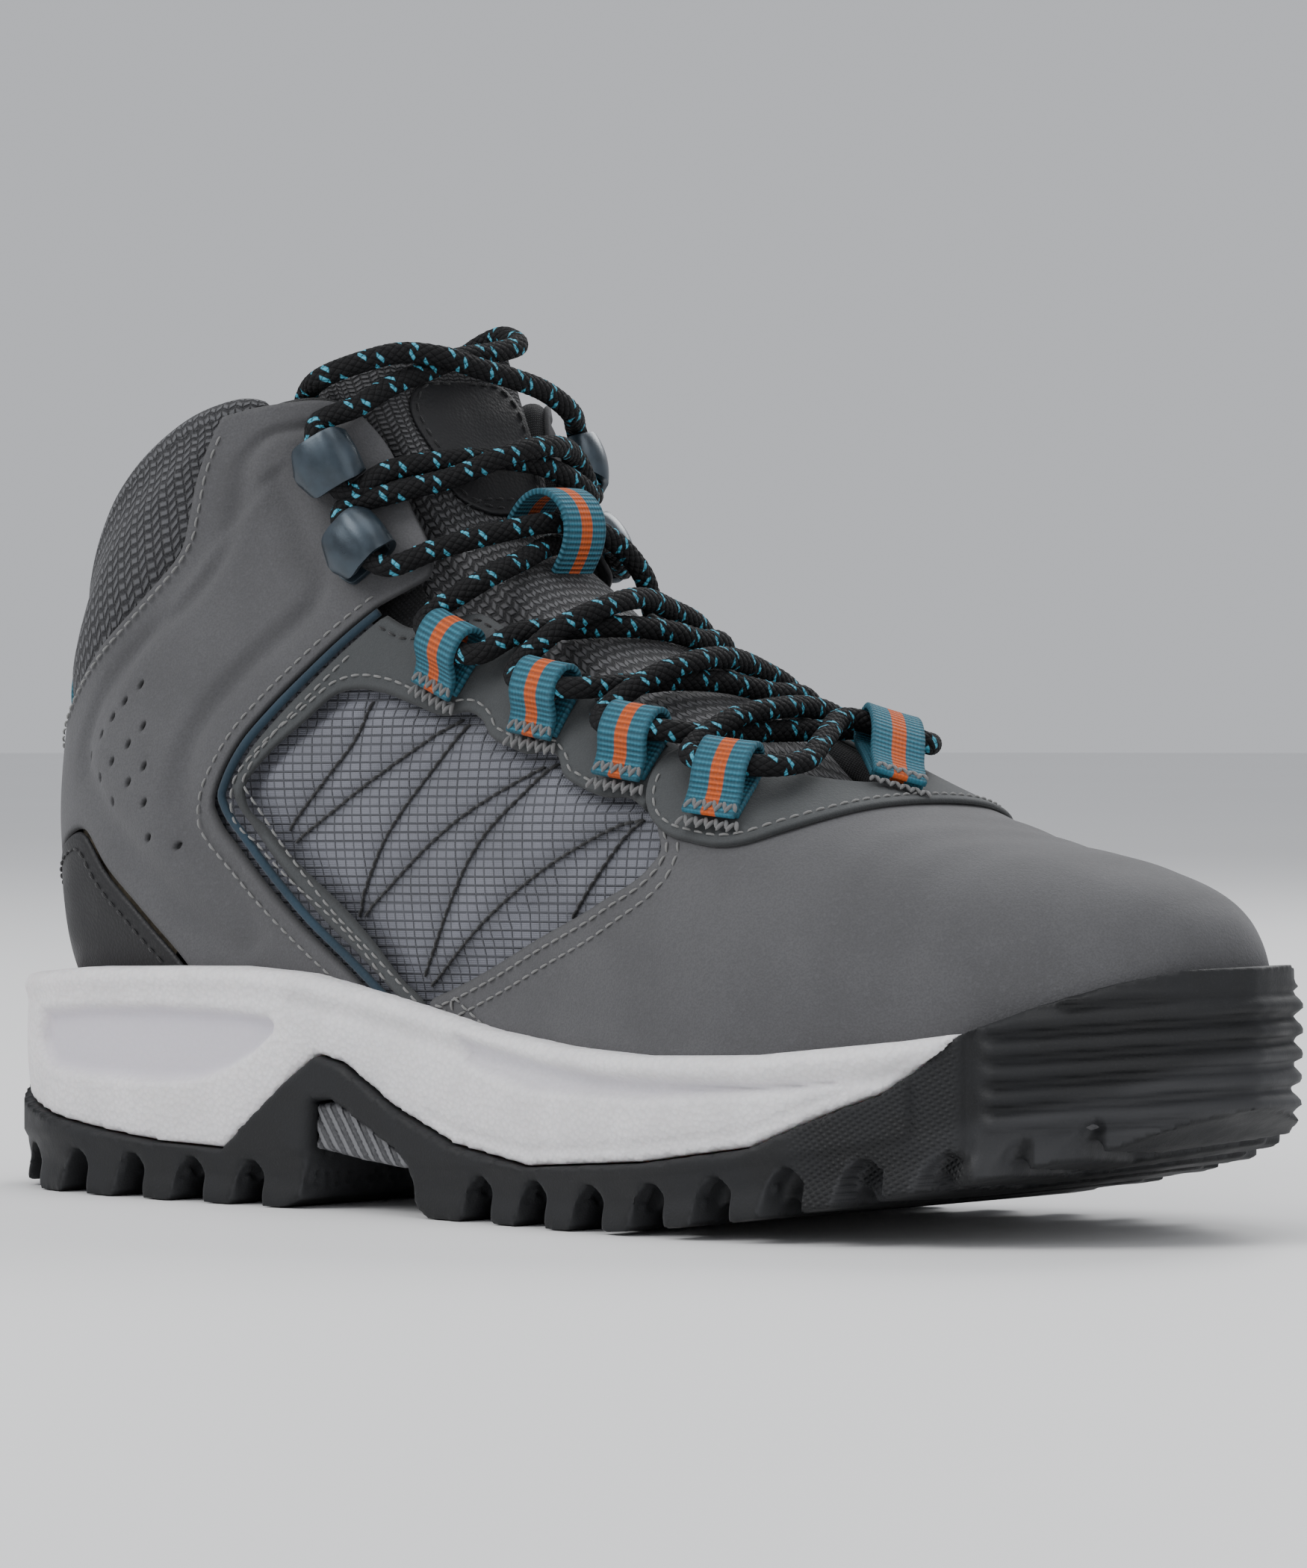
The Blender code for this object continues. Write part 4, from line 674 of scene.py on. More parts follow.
def rubber_look():
    """Dark moulded rubber, with painted highlight on the lug faces near the ground that face forwards and
    backwards, and a fine diagonal texture on the toe's sides.
    """
    base = (0.0085, 0.009, 0.010)
    look = Look("outsole_rubber", 0.62, Specular_IOR_Level=0.35)
    point = look.point()
    x, _, z = look.split(point)
    clouds = look.noise(point, 10, 4)
    grit = look.noise(point, 0.5, 3)
    tone = look.mottled(clouds, 0.35, 0.68, base, 0.75, 1.5)
    tone = look.tint(tone, look.span(grit, 0.5, 0.8), shade(base, 2.4), 0.4)
    # painted highlight: the lug faces near the ground that face forwards or backwards are made paler
    tone = look.tint(tone, look.attribute("facet"), (0.036, 0.037, 0.040), 0.75)
    look.colour(tone)
    look.rough(clouds, 0.5, 0.74)
    slant = look.wave(look.math("ADD", x, look.math("MULTIPLY", z, 0.8)), 1.5)
    cross = look.wave(look.math("SUBTRACT", x, look.math("MULTIPLY", z, 1.6)), 1.9)
    weave = look.math("MULTIPLY", look.math("MULTIPLY", slant, cross), look.attribute("texture"))
    look.relief((grit, 0.08), (weave, 0.3))
    return look.material


def midsole_look():
    """Off-white moulded foam with a pebbled skin, smoother in its recesses and greyer there with painted
    shade.
    """
    base = (0.78, 0.755, 0.765)
    look = Look("midsole_foam", 0.7, Subsurface_Weight=0.05)
    point = look.point()
    pebble = look.cells(point, 1.15)
    dust = look.noise(point, 12, 4)
    speck = look.noise(point, 0.8, 3)
    hollow = look.attribute("hollow")
    tone = look.mottled(dust, 0.35, 0.7, base, 1.03, 0.93)
    tone = look.tint(tone, look.span(speck, 0.55, 0.75), shade(base, 0.82), 0.35)
    tone = look.tint(tone, look.span(pebble, 0.35, 0.75), shade(base, 0.8), 0.35)
    # painted shade: the recess at the heel and the wedge are tinted grey
    tone = look.tint(tone, hollow, (0.60, 0.57, 0.635), 0.85)
    look.colour(tone)
    look.rough(dust, 0.62, 0.8)
    # the same mask of the recesses also smooths the pebble there
    smooth = look.math("MULTIPLY", pebble, look.span(hollow, 0.2, 0.9, 1.0, 0.25))
    look.relief((speck, 0.06), (smooth, 0.22))
    return look.material


def shank_look():
    """Grey moulded plastic with slanting ribs, with painted light on the ribs and painted shade between
    them.
    """
    look = Look("shank_plastic", 0.5)
    point = look.point()
    x, _, z = look.split(point)
    ribs = look.band(look.period(look.math("ADD", x, look.math("MULTIPLY", z, 0.7)), 3.0), 0.3, 0.1)
    grit = look.noise(point, 0.6, 3)
    # painted light on the ribs and painted shade in the grooves between them
    tone = look.blend(ribs, (0.045, 0.046, 0.05), (0.15, 0.152, 0.16))
    look.colour(look.tint(tone, look.span(grit, 0.4, 0.7), (0.2, 0.2, 0.21), 0.25))
    look.rough(grit, 0.42, 0.6)
    look.relief((ribs, 0.5))
    return look.material


def webbing_look():
    """Ribbed teal webbing with an orange stripe along its middle."""
    teal, orange = (0.028, 0.135, 0.19), (0.62, 0.115, 0.022)
    look = Look("webbing", 0.78, Specular_IOR_Level=0.3)
    x, y, _ = look.split(look.attribute("weave", "Vector"))
    rib = look.wave(y, 1.15)
    warp = look.wave(x, 0.75)
    stripe = look.span(look.math("ABSOLUTE", x), 1.35, 1.6, 1.0, 0.0)
    selvedge = look.span(look.math("ABSOLUTE", x), 4.4, 5.0)
    fibre = look.noise(look.point(), 0.5, 3)
    tone = look.blend(rib, shade(teal, 0.5), shade(teal, 1.2))
    tone = look.tint(tone, look.math("MULTIPLY", warp, rib), shade(teal, 1.7), 0.35)
    tone = look.tint(tone, selvedge, shade(teal, 0.6), 0.6)
    tone = look.blend(stripe, tone, look.blend(rib, shade(orange, 0.5), orange))
    look.colour(look.tint(tone, look.span(fibre, 0.5, 0.75), (0.25, 0.42, 0.48), 0.10))
    look.rough(fibre, 0.62, 0.82)
    look.relief((rib, 0.32), (warp, 0.08))
    return look.material


def lace_look():
    """Black round braid with a pair of teal carriers that surface as slanted flecks."""
    look = Look("lace_braid", 0.8, Specular_IOR_Level=0.2)
    s, turn, _ = look.split(look.attribute("braid", "Vector"))
    first = look.math("FRACT", look.math("ADD", look.math("DIVIDE", s, FLECK_LEAD), turn))
    pair = look.math("MAXIMUM", look.band(look.math("ADD", first, 0.20), 0.050, 0.012),
                     look.band(look.math("SUBTRACT", first, 0.04), 0.050, 0.012))
    crossing = look.math("SUBTRACT", look.math("DIVIDE", s, FLECK_LEAD / 2.5), turn)
    over = look.band(look.math("FRACT", crossing), 0.22, 0.04)
    fleck = look.math("MULTIPLY", pair, over)
    fibre = look.noise(look.point(), 0.28, 3)
    tone = look.blend(look.span(fibre, 0.35, 0.7), (0.004, 0.004, 0.0045), (0.014, 0.014, 0.015))
    tone = look.blend(fleck, tone, look.blend(fibre, (0.03, 0.22, 0.32), (0.12, 0.50, 0.66)))
    along, across = look.math("DIVIDE", s, BRAID_STEP), look.math("MULTIPLY", turn, BRAID_CELLS)
    lean, back = (look.math("SINE", look.math("MULTIPLY", look.math(way, along, across), math.pi))
                  for way in ("ADD", "SUBTRACT"))
    strand = look.math("SQRT", look.math("ABSOLUTE", look.math("MULTIPLY", lean, back)))
    look.colour(look.tint(tone, look.span(strand, 0.05, 0.45, 1.0, 0.0), (0.0015, 0.0015, 0.0015), 0.85))
    look.rough(fibre, 0.7, 0.9)
    look.relief((strand, 0.34), (fibre, 0.08))
    return look.material


def metal_look(name, base, metallic=0.55, roughness=0.32):
    """Satin painted metal with fine pale specks of painted glint."""
    look = Look(name, roughness, Metallic=metallic, Coat_Weight=0.25, Coat_Roughness=0.3)
    point = look.point()
    brushed = look.noise(point, 4, 4)
    grit = look.noise(point, 0.4, 3)
    tone = look.mottled(brushed, 0.35, 0.7, base, 0.85, 1.25)
    # painted glints: fine pale specks
    look.colour(look.tint(tone, look.span(grit, 0.6, 0.8), shade(base, 2.0), 0.3))
    look.rough(brushed, roughness - 0.06, roughness + 0.1)
    look.relief((grit, 0.02))
    return look.material


def thread_look(name, base):
    """Twisted sewing thread."""
    look = Look(name, 0.75, Sheen_Weight=0.2)
    point = look.point()
    x, y, z = look.split(point)
    ply = look.wave(look.math("ADD", look.math("ADD", x, y), z), 0.35)
    fibre = look.noise(point, 0.3, 2)
    tone = look.blend(ply, shade(base, 0.65), shade(base, 1.15))
    look.colour(look.tint(tone, fibre, shade(base, 1.3), 0.3))
    look.rough(fibre, 0.65, 0.85)
    look.relief((ply, 0.06))
    return look.material


def plastic_look(name, base):
    """Smooth plastic with faint streaks."""
    look = Look(name, 0.28)
    point = look.point()
    streak = look.noise(point, 2.5, 3)
    look.colour(look.mottled(streak, 0.3, 0.7, base, 0.8, 1.5))
    look.rough(streak, 0.2, 0.4)
    look.relief((streak, 0.04))
    return look.material


# ---------------------------------------------------------------- meshes

def add_piece(name, mesh, look, body, replaces=()):
    """A finished piece: its mesh, its material, its body and the CAD nodes that it stands for."""
    mesh.materials.append(LOOKS[look])
    obj = bpy.data.objects.new(name + "_surface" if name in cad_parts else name, mesh)
    bpy.context.scene.collection.objects.link(obj)
    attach(obj, body)
    if replaces:
        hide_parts(*replaces)
    return obj


def mesh_of(name, points, faces, smooth=True):
    """A mesh from points in metres and faces given by their corners."""
    mesh = bpy.data.meshes.new(name)
    mesh.from_pydata([tuple(p) for p in points], [], [tuple(f) for f in faces])
    if smooth:
        mesh.shade_smooth()
    return mesh


def ring_faces(rings, around):
    """Faces between rings of points that follow each other, with a cap at both ends."""
    faces = []
    for i in range(0, (rings - 1) * around, around):
        for j in range(around):
            k = (j + 1) % around
            faces.append((i + j, i + k, i + around + k, i + around + j))
    return faces + [tuple(range(around))[::-1], tuple((rings - 1) * around + j for j in range(around))]


def sheet_faces(rows, wide):
    """Faces of an open grid of points."""
    return [(i * wide + j, i * wide + j + 1, (i + 1) * wide + j + 1, (i + 1) * wide + j)
            for i in range(rows - 1) for j in range(wide - 1)]


def turn_outwards(mesh):
    """Turns every face of a closed mesh outwards."""
    shape = bmesh.new()
    shape.from_mesh(mesh)
    bmesh.ops.recalc_face_normals(shape, faces=shape.faces)
    shape.to_mesh(mesh)
    shape.free()


def thicken(obj, thickness, edge, segments):
    """Gives a sheet its thickness on both sides and rounds its edges, all in millimetres."""
    modifier = obj.modifiers.new("thickness", "SOLIDIFY")
    modifier.thickness = thickness * MM
    modifier.offset = 0
    modifier = obj.modifiers.new("edges", "BEVEL")
    modifier.width = edge * MM
    modifier.segments = segments
    modifier.limit_method = "ANGLE"
    modifier.angle_limit = math.radians(50)


def write_values(mesh, name, values):
    """A value or a vector at each vertex, for the materials."""
    values = np.asarray(values, np.float32)
    kind, key = ("FLOAT", "value") if values.ndim == 1 else ("FLOAT_VECTOR", "vector")
    mesh.attributes.new(name, kind, "POINT").data.foreach_set(key, values.ravel())


def write_places(mesh, places, edge, hollow):
    """What a panel's material reads: place on the weave, distance from the edge, and where painted shade
    darkens it.
    """
    write_values(mesh, "weave", np.column_stack([places * FLAT, 0 * edge]))
    write_values(mesh, "edge", edge)
    write_values(mesh, "hollow", hollow)


def in_batches(function, points, outline, size=1500):
    """A function of points and an outline, worked out for a part of the points at a time."""
    return np.concatenate([function(points[i:i + size], outline) for i in range(0, len(points), size)])


def winding(flat):
    """1 for an outline that runs anticlockwise, -1 for one that runs clockwise."""
    following = np.roll(flat, -1, axis=0)
    return np.sign((flat[:, 0] * following[:, 1] - following[:, 0] * flat[:, 1]).sum())


def filled(outline, spacing, extra=None):
    """Triangles that fill an outline in (u, v): a staggered lattice inside and two rows close to its edge.

    Returns the places, the triangles and each place's distance from the edge in millimetres.
    """
    flat = np.asarray(outline, float) * FLAT
    low, high = flat.min(axis=0), flat.max(axis=0)
    rows = np.arange(low[1], high[1], spacing * 0.87)
    columns = np.arange(low[0], high[0], spacing)
    grid = np.array([(x + (i % 2) * spacing / 2, y) for i, y in enumerate(rows) for x in columns])
    grid = grid[in_batches(inside, grid, flat)]
    grid = grid[in_batches(clearance, grid, flat) > spacing * 0.9]
    loose = []
    direction = np.roll(flat, -1, axis=0) - np.roll(flat, 1, axis=0)
    inward = np.stack([-direction[:, 1], direction[:, 0]], axis=1) * winding(flat)
    inward /= np.maximum(np.linalg.norm(inward, axis=1), 1e-9)[:, None]
    for distance in EDGE_ROWS:
        row = flat + inward * distance
        row = row[in_batches(inside, row, flat)]
        loose.append(row[in_batches(clearance, row, flat) > distance * 0.9])
    if extra is not None:
        near = np.linalg.norm(grid[:, None] - (extra * FLAT)[None], axis=-1).min(axis=1)
        grid = grid[near > 0.35]
        loose.append(extra * FLAT)
    points = np.concatenate([flat, *loose, grid])
    count = len(flat)
    edges = [(i, (i + 1) % count) for i in range(count)]
    found = delaunay_2d_cdt([Vector(p) for p in points], edges, [], 1, 1e-4)
    flat_places = np.array([tuple(p) for p in found[0]])
    faces = np.array([tuple(face) for face in found[2]])
    a, b, c = (flat_places[faces[:, i]] for i in range(3))
    turn = (b[:, 0] - a[:, 0]) * (c[:, 1] - a[:, 1]) - (b[:, 1] - a[:, 1]) * (c[:, 0] - a[:, 0])
    faces[turn < 0] = faces[turn < 0][:, ::-1]
    return flat_places / FLAT, faces[abs(turn) > 1e-6], in_batches(clearance, flat_places, flat)


def heights(height, u, v):
    """A height at each place, from one number or from a function of the places."""
    return height(u, v) if callable(height) else np.full(len(u), float(height))


def rounding(edge, radius):
    """How far a rounded edge falls away at a distance from the edge."""
    return radius * (1 - np.sqrt(1 - np.clip(1 - edge / radius, 0, 1) ** 2))


def panel(name, outline, look, height=0.0, thickness=PANEL, roll=0.7, relief=None, hollow=None,
          extra=None, spacing=1.5, body="boot"):
    """A panel of the upper, its outer face at a height above the loft, with rolled edges and a relief."""
    places, faces, edge = filled(outline, spacing, extra)
    u, v = places.T
    level = heights(height, u, v)
    reach = DEEP_REACH if level.mean() < -LAYER_STEP - 0.5 else 0.002
    level = level - rounding(edge, roll)
    if relief:
        level = level + relief(u, v, edge)
    mesh = mesh_of(name, place(lifted(u, v, level, reach)), faces)
    write_places(mesh, places, edge, hollow(u, v) if hollow else 0 * u)
    obj = add_piece(name, mesh, look, body, (name,))
    modifier = obj.modifiers.new("thickness", "SOLIDIFY")
    modifier.thickness = thickness * MM
    modifier.offset = -1
    return obj


def pad(name, outline, look, height, thickness, rim=3.5, spacing=1.6, body="boot", relief=None):
    """A padded piece: two faces that meet in a round edge."""
    places, faces, edge = filled(outline, spacing)
    u, v = places.T
    half = thickness / 2 * np.sqrt(1 - np.clip(1 - edge / rim, 0, 1) ** 2)
    middle = heights(height, u, v) - thickness / 2
    bulge = relief(u, v, edge) if relief else 0.0
    outer = lifted(u, v, middle + half + bulge, DEEP_REACH)
    inner = lifted(u, v, middle - half, DEEP_REACH)
    on_edge = edge < 1e-3
    index = np.where(on_edge, np.arange(len(u)), len(u) + np.cumsum(~on_edge) - 1)
    back = index[faces][:, ::-1]
    points = np.concatenate([outer, inner[~on_edge]])
    mesh = mesh_of(name, place(points), np.concatenate([faces, back]))
    every = np.concatenate([places, places[~on_edge]])
    write_places(mesh, every, np.concatenate([edge, edge[~on_edge]]), np.zeros(len(every)))
    obj = add_piece(name, mesh, look, body, (name,))
    return obj


def read_along(line, lengths, at):
    """The line's points at given lengths along it."""
    return np.stack([np.interp(at, lengths, column) for column in line.T], axis=1)


def even_points(line, step):
    """A smooth curve through the points, read at even steps in millimetres, with its directions."""
    line = np.asarray(line, float)
    keys = lengths_along(line)
    dense = hermite(keys, line, np.linspace(0, keys[-1], int(keys[-1] / 0.25) + 2))
    lengths = lengths_along(dense)
    at = np.linspace(0, lengths[-1], max(3, int(round(lengths[-1] / step)) + 1))
    points = read_along(dense, lengths, at)
    directions = np.gradient(points, axis=0)
    return points, unit(directions), at


def tube_frames(directions, start):
    """A side and an up direction at each point of a line, carried along it without twisting."""
    side = np.cross(directions[0], start)
    side /= np.linalg.norm(side)
    sides = [side]
    for direction in directions[1:]:
        side = side - direction * (side @ direction)
        side /= np.linalg.norm(side)
        sides.append(side)
    sides = np.array(sides)
    return sides, np.cross(sides, directions)


def tube_mesh(name, points, directions, start, radius, around):
    """A round tube with closed ends. radius is one number, or one for each point and angle."""
    sides, ups = tube_frames(directions, start)
    angles = np.linspace(0, 2 * math.pi, around, endpoint=False)
    radius = np.broadcast_to(np.asarray(radius, float), (len(points), around))
    rings = (points[:, None] + sides[:, None] * (np.cos(angles)[None, :, None] * radius[..., None])
             + ups[:, None] * (np.sin(angles)[None, :, None] * radius[..., None]))
    mesh = mesh_of(name, place(rings.reshape(-1, 3)), ring_faces(len(points), around))
    turn_outwards(mesh)
    return mesh


# One stitch: rings along it as (place along, radius, height), in half lengths, radii and millimetres
STITCH_RINGS = [(-1.0, 0.15, -0.28), (-0.72, 0.85, -0.02), (0, 1, 0.10), (0.72, 0.85, -0.02),
                (1.0, 0.15, -0.28)]
STITCH_SIDES = 6


def stitches_mesh(name, centres, directions, outs, length, radius):
    """Short rounded stitches, each sunk into the material at its ends."""
    directions = unit(directions)
    sides = unit(np.cross(outs, directions))
    outs = np.cross(directions, sides)
    length = np.broadcast_to(np.asarray(length, float), (len(centres),))[:, None, None]
    template = []
    for along, width, rise in STITCH_RINGS:
        for i in range(STITCH_SIDES):
            angle = 2 * math.pi * i / STITCH_SIDES
            across, up = math.cos(angle) * width * radius, math.sin(angle) * width * radius
            template.append((along, across, up + rise))
    template = np.array(template)
    points = (centres[:, None] + directions[:, None] * template[None, :, 0:1] * length / 2
              + sides[:, None] * template[None, :, 1:2] + outs[:, None] * template[None, :, 2:3])
    faces = ring_faces(len(STITCH_RINGS), STITCH_SIDES)
    every = [tuple(k * len(template) + i for i in face) for k in range(len(centres)) for face in faces]
    return mesh_of(name, place(points.reshape(-1, 3)), every)


def seam_points(run, height, step):
    """Where the stitches of a seam lie: centres, directions and outward directions in loft millimetres."""
    run = np.asarray(run, float)
    dense = hermite(np.linspace(0, 1, len(run)), run, np.linspace(0, 1, len(run) * 12))
    line = lifted(*dense.T, heights(height, *dense.T))
    lengths = lengths_along(line)
    at = np.arange(step / 2, lengths[-1], step)
    centres, ahead, behind = (read_along(line, lengths, at + reach) for reach in (0, 0.4, -0.4))
    return centres, ahead - behind, tangents(*read_along(dense, lengths, at).T)[2]


def seam_stitches(name, runs, look, body="boot", step=2.9, length=2.25, radius=0.27):
    """All the stitches of several seams, each (run, height), as one piece."""
    parts = [seam_points(run, height, step) for run, height in runs]
    mesh = stitches_mesh(name, *(np.concatenate(part) for part in zip(*parts)), length, radius)
    return add_piece(name, mesh, look, body)


# ---------------------------------------------------------------- upper

# Smaller features of the panels, as (|u|, v)
CHANNELS = [
    [(0.290, 0.896), (0.355, 0.909), (0.406, 0.922), (0.434, 0.909), (0.450, 0.880), (0.466, 0.851),
     (0.492, 0.828), (0.529, 0.823), (0.577, 0.830), (0.631, 0.835), (0.679, 0.832), (0.709, 0.823)],
    [(0.408, 0.870), (0.397, 0.821), (0.392, 0.773), (0.391, 0.740), (0.407, 0.729), (0.437, 0.731),
     (0.482, 0.738), (0.531, 0.743), (0.567, 0.743), (0.590, 0.736), (0.605, 0.726), (0.622, 0.709),
     (0.643, 0.684), (0.666, 0.658), (0.682, 0.644), (0.694, 0.639), (0.704, 0.643), (0.704, 0.656),
     (0.696, 0.682), (0.680, 0.713), (0.677, 0.747), (0.696, 0.784), (0.713, 0.812)],
]
PERFORATIONS = np.array([(0.601, 0.806), (0.624, 0.809), (0.644, 0.810), (0.607, 0.782), (0.667, 0.811),
                         (0.629, 0.784), (0.701, 0.814), (0.655, 0.788), (0.618, 0.762), (0.682, 0.792),
                         (0.640, 0.766), (0.670, 0.771), (0.633, 0.746), (0.65, 0.73), (0.64, 0.710)])
ZIGZAGS = [
    [(0.442, 0.643), (0.493, 0.638), (0.584, 0.652)],
    [(0.594, 0.645), (0.517, 0.612), (0.410, 0.572)],
    [(0.406, 0.563), (0.483, 0.572), (0.564, 0.583), (0.643, 0.585)],
    [(0.641, 0.581), (0.512, 0.539), (0.395, 0.492)],
    [(0.382, 0.485), (0.443, 0.500), (0.542, 0.521), (0.686, 0.532)],
    [(0.698, 0.528), (0.585, 0.496), (0.432, 0.429), (0.385, 0.404)],
    [(0.385, 0.404), (0.431, 0.416), (0.562, 0.442)],
]
CHANNEL_DEPTH = 1.1
CHANNEL_WIDTH = 1.9
BOOMERANG_HEIGHT = 0.9
HOLE_RADIUS = 0.62
FINE = 1.3  # spacing of outline points, in millimetres


def run_distance(u, v, run):
    """Each place's distance from an open run, in millimetres on the loft."""
    line = smooth_run(run, 3) * FLAT
    a, b = line[:-1], line[1:]

    def nearest(points, _):
        step = b - a
        t = np.clip(((points[:, None] - a) * step).sum(-1) / (step**2).sum(-1), 0, 1)
        return np.linalg.norm(points[:, None] - a - t[..., None] * step, axis=-1).min(axis=1)

    return in_batches(nearest, np.column_stack([u, v]) * FLAT, None)


def within(u, v, outline, soft):
    """1 well inside an outline and 0 outside it."""
    points = np.column_stack([u, v]) * FLAT
    flat = np.asarray(outline) * FLAT
    depth = in_batches(clearance, points, flat) * np.where(in_batches(inside, points, flat), 1, -1)
    return smooth_step(0, soft, depth)


def hole_distance(u, v, holes):
    """Each place's distance from the nearest hole, in millimetres on the loft."""
    return np.linalg.norm((np.column_stack([u, v])[:, None] - holes[None]) * FLAT, axis=-1).min(axis=1)


def hole_lattice(holes):
    """Places round each hole, so that its edge is crisp."""
    rings = [(0.0, 1)] + [(HOLE_RADIUS * share, 8) for share in (0.55, 1.0, 1.45)]
    around = [(r * math.cos(2 * math.pi * i / n), r * math.sin(2 * math.pi * i / n))
              for r, n in rings for i in range(n)]
    return (holes[:, None] + np.array(around)[None] / FLAT).reshape(-1, 2)


def quarter_relief(u, v, _):
    """Moulded channels, the raised panel between them, a padded collar edge and perforations."""
    a = abs(u)
    grooves = sum(np.exp(-(run_distance(a, v, run) / CHANNEL_WIDTH) ** 2) for run in CHANNELS)
    raised = within(a, v, smooth_run(CHANNELS[1], 3), 4.0)
    padded = smooth_step(0.80, 0.90, v) * smooth_step(0.30, 0.42, a)
    pierced = 1 - smooth_step(HOLE_RADIUS * 0.5, HOLE_RADIUS * 1.15, hole_distance(a, v, PERFORATIONS))
    return BOOMERANG_HEIGHT * raised - CHANNEL_DEPTH * np.minimum(grooves, 1) + 0.8 * padded - 1.0 * pierced


def perforation_shade(u, v):
    """Painted shade inside the perforations, which are only shallow dimples."""
    return 1 - smooth_step(HOLE_RADIUS * 0.7, HOLE_RADIUS * 1.1, hole_distance(abs(u), v, PERFORATIONS))


def vamp_relief(u, v, edge):
    """Shallow creases across the flex of the toes."""
    a = abs(u)
    where = np.exp(-((v - 0.235) / 0.055) ** 2) * np.exp(-((a - 0.22) / 0.2) ** 2)
    rear = smooth_step(0, 7, edge) - 1
    return 0.22 * np.sin(v * 175 + 3 * np.sin(u * 7)) * where + 0.15 * rear * (v > 0.35)


# The window that the eyestay, the vamp and the quarter leave open over the ripstop
WINDOW = smooth_run(WINDOW_EDGE, 4)


def window_relief(u, v, _):
    """Ripstop, pulled in along its zigzag seams."""
    a = abs(u)
    near = np.min([run_distance(a, v, run) for run in ZIGZAGS], axis=0)
    open_part = within(a, v, WINDOW, 3.0)
    swell = within(a, v, WINDOW, 14.0)
    return 0.9 * swell - 0.75 * np.exp(-(near / 1.6) ** 2) * open_part - 1.7 * (1 - open_part)


def zigzag_crease_shade(u, v):
    """Painted shade in the creases along the zigzag seams."""
    near = np.min([run_distance(abs(u), v, run) for run in ZIGZAGS], axis=0)
    return np.exp(-(near / 1.3) ** 2)


def lasting_margin(first, last, step=0.006):
    """The lower edge of the upper, turned in under the foot, from one v to another."""
    v = np.linspace(first, last, int(abs(last - first) / step) + 2)
    return np.stack([np.interp(v, [0, 0.55, 0.64, 0.72, 1], [0.90, 0.90, 0.93, 1.0, 1.0]), v], axis=1)


def make_vamp():
    """The forefoot's panel, from the throat to the toe and turned in under the sole."""
    rear = np.concatenate([[(0.222, 0.384)], [(0.30, 0.387)], smooth_run(VAMP_EDGE, FINE)])
    toe = [(a, 0.0) for a in np.linspace(0.88, 0, 50)]
    half = np.concatenate([smooth_run(THROAT_FRONT[::-1], FINE), rear, lasting_margin(0.437, 0.0), toe])
    panel("vamp", whole(half), "nubuck", 0.15, PANEL, relief=vamp_relief)


def make_quarter(word, side):
    """One side's rear panel, from the throat over the ankle to the heel."""
    seam = 1 - GAP / FLAT[0] / 3
    heel, collar = smooth_run(HEEL_LINE, FINE), smooth_run(COLLAR_LINE[::-1], FINE)
    heel[:, 0] = np.minimum(heel[:, 0], seam)
    collar[:, 0] = np.minimum(collar[:, 0], seam)
    outline = joined(smooth_run(QUARTER_TOP, FINE), smooth_run(PIPING_LINE, FINE),
                     lasting_margin(0.465, 0.592), shifted(heel, -GAP), collar)
    panel("quarter_" + word, on_side(outline, side), "nubuck", 0, PANEL, roll=0.9,
          relief=quarter_relief, hollow=perforation_shade, spacing=1.4,
          extra=on_side(hole_lattice(PERFORATIONS), side))


def make_eyestay(word, side):
    """The panel that carries the loops and frames the window."""
    rear = shifted(smooth_run(PIPING_LINE, FINE), -PIPING_DIAMETER - 2 * PIPING_GAP)
    front = np.array([(0.372, 0.396), (0.33, 0.396), (0.28, 0.396), (0.222, 0.392)])
    strip = shifted(smooth_run(VAMP_EDGE, FINE), 2 * GAP)
    strip = strip[strip[:, 0] > 0.715][::-1]
    outline = joined(rear[rear[:, 0] < 0.885], strip[strip[:, 0] < 0.885],
                     smooth_run(WINDOW_EDGE, FINE), front, smooth_run(THROAT_EDGE, FINE))
    panel("eyestay_" + word, on_side(outline, side), "eyestay", 0, PANEL, roll=0.6)


def make_throat_overlay():
    """The raised panel across the front of the throat."""
    half = np.concatenate([smooth_run(TAB_FRONT[::-1], FINE), smooth_run(THROAT_FRONT, FINE)])
    panel("throat_overlay", whole(half), "eyestay", OVERLAY_HEIGHT, PANEL, roll=0.9)


def make_heel_overlay():
    """The black overlay that wraps the heel above the sole."""
    heel = shifted(smooth_run(HEEL_LINE, FINE), -GAP * 2)
    panel("heel_overlay", heel_band(heel, lasting_margin(0.60, 0.74)), "film", 0.25, PANEL,
          roll=0.7)


def make_side_mesh(word, side):
    """The ripstop panel behind the window."""
    outline = smooth_run(SIDE_MESH + SIDE_MESH[:1], 3)[:-1]
    panel("side_mesh_" + word, on_side(outline, side), "ripstop", -LAYER_STEP + 0.4, PANEL,
          relief=window_relief, hollow=zigzag_crease_shade, spacing=1.6)


def make_collar_mesh():
    """The padded knit between the quarters and the collar's roll."""
    top = smooth_run(COLLAR_TOP[4:], 2)
    bottom = [(1.0, 0.863), (0.88, 0.858), (0.76, 0.852), (0.66, 0.846), (0.56, 0.844), (0.50, 0.862),
              (0.465, 0.92), (0.435, 0.962)]
    panel("collar_mesh", heel_band(top, smooth_run(bottom[::-1], 2)), "collar_knit",
          -LAYER_STEP + 0.5, PANEL, relief=lambda u, v, edge: 2.3 * smooth_step(2, 15, edge))


def lining_depth(u, v):
    """The lining stands further in behind the collar's padding."""
    a = 1 - abs(1 - abs(u))
    deep = smooth_step(0.40, 0.50, a) * smooth_step(0.79, 0.85, v)
    return LINING_DEPTH + (COLLAR_LINING_DEPTH - LINING_DEPTH) * deep


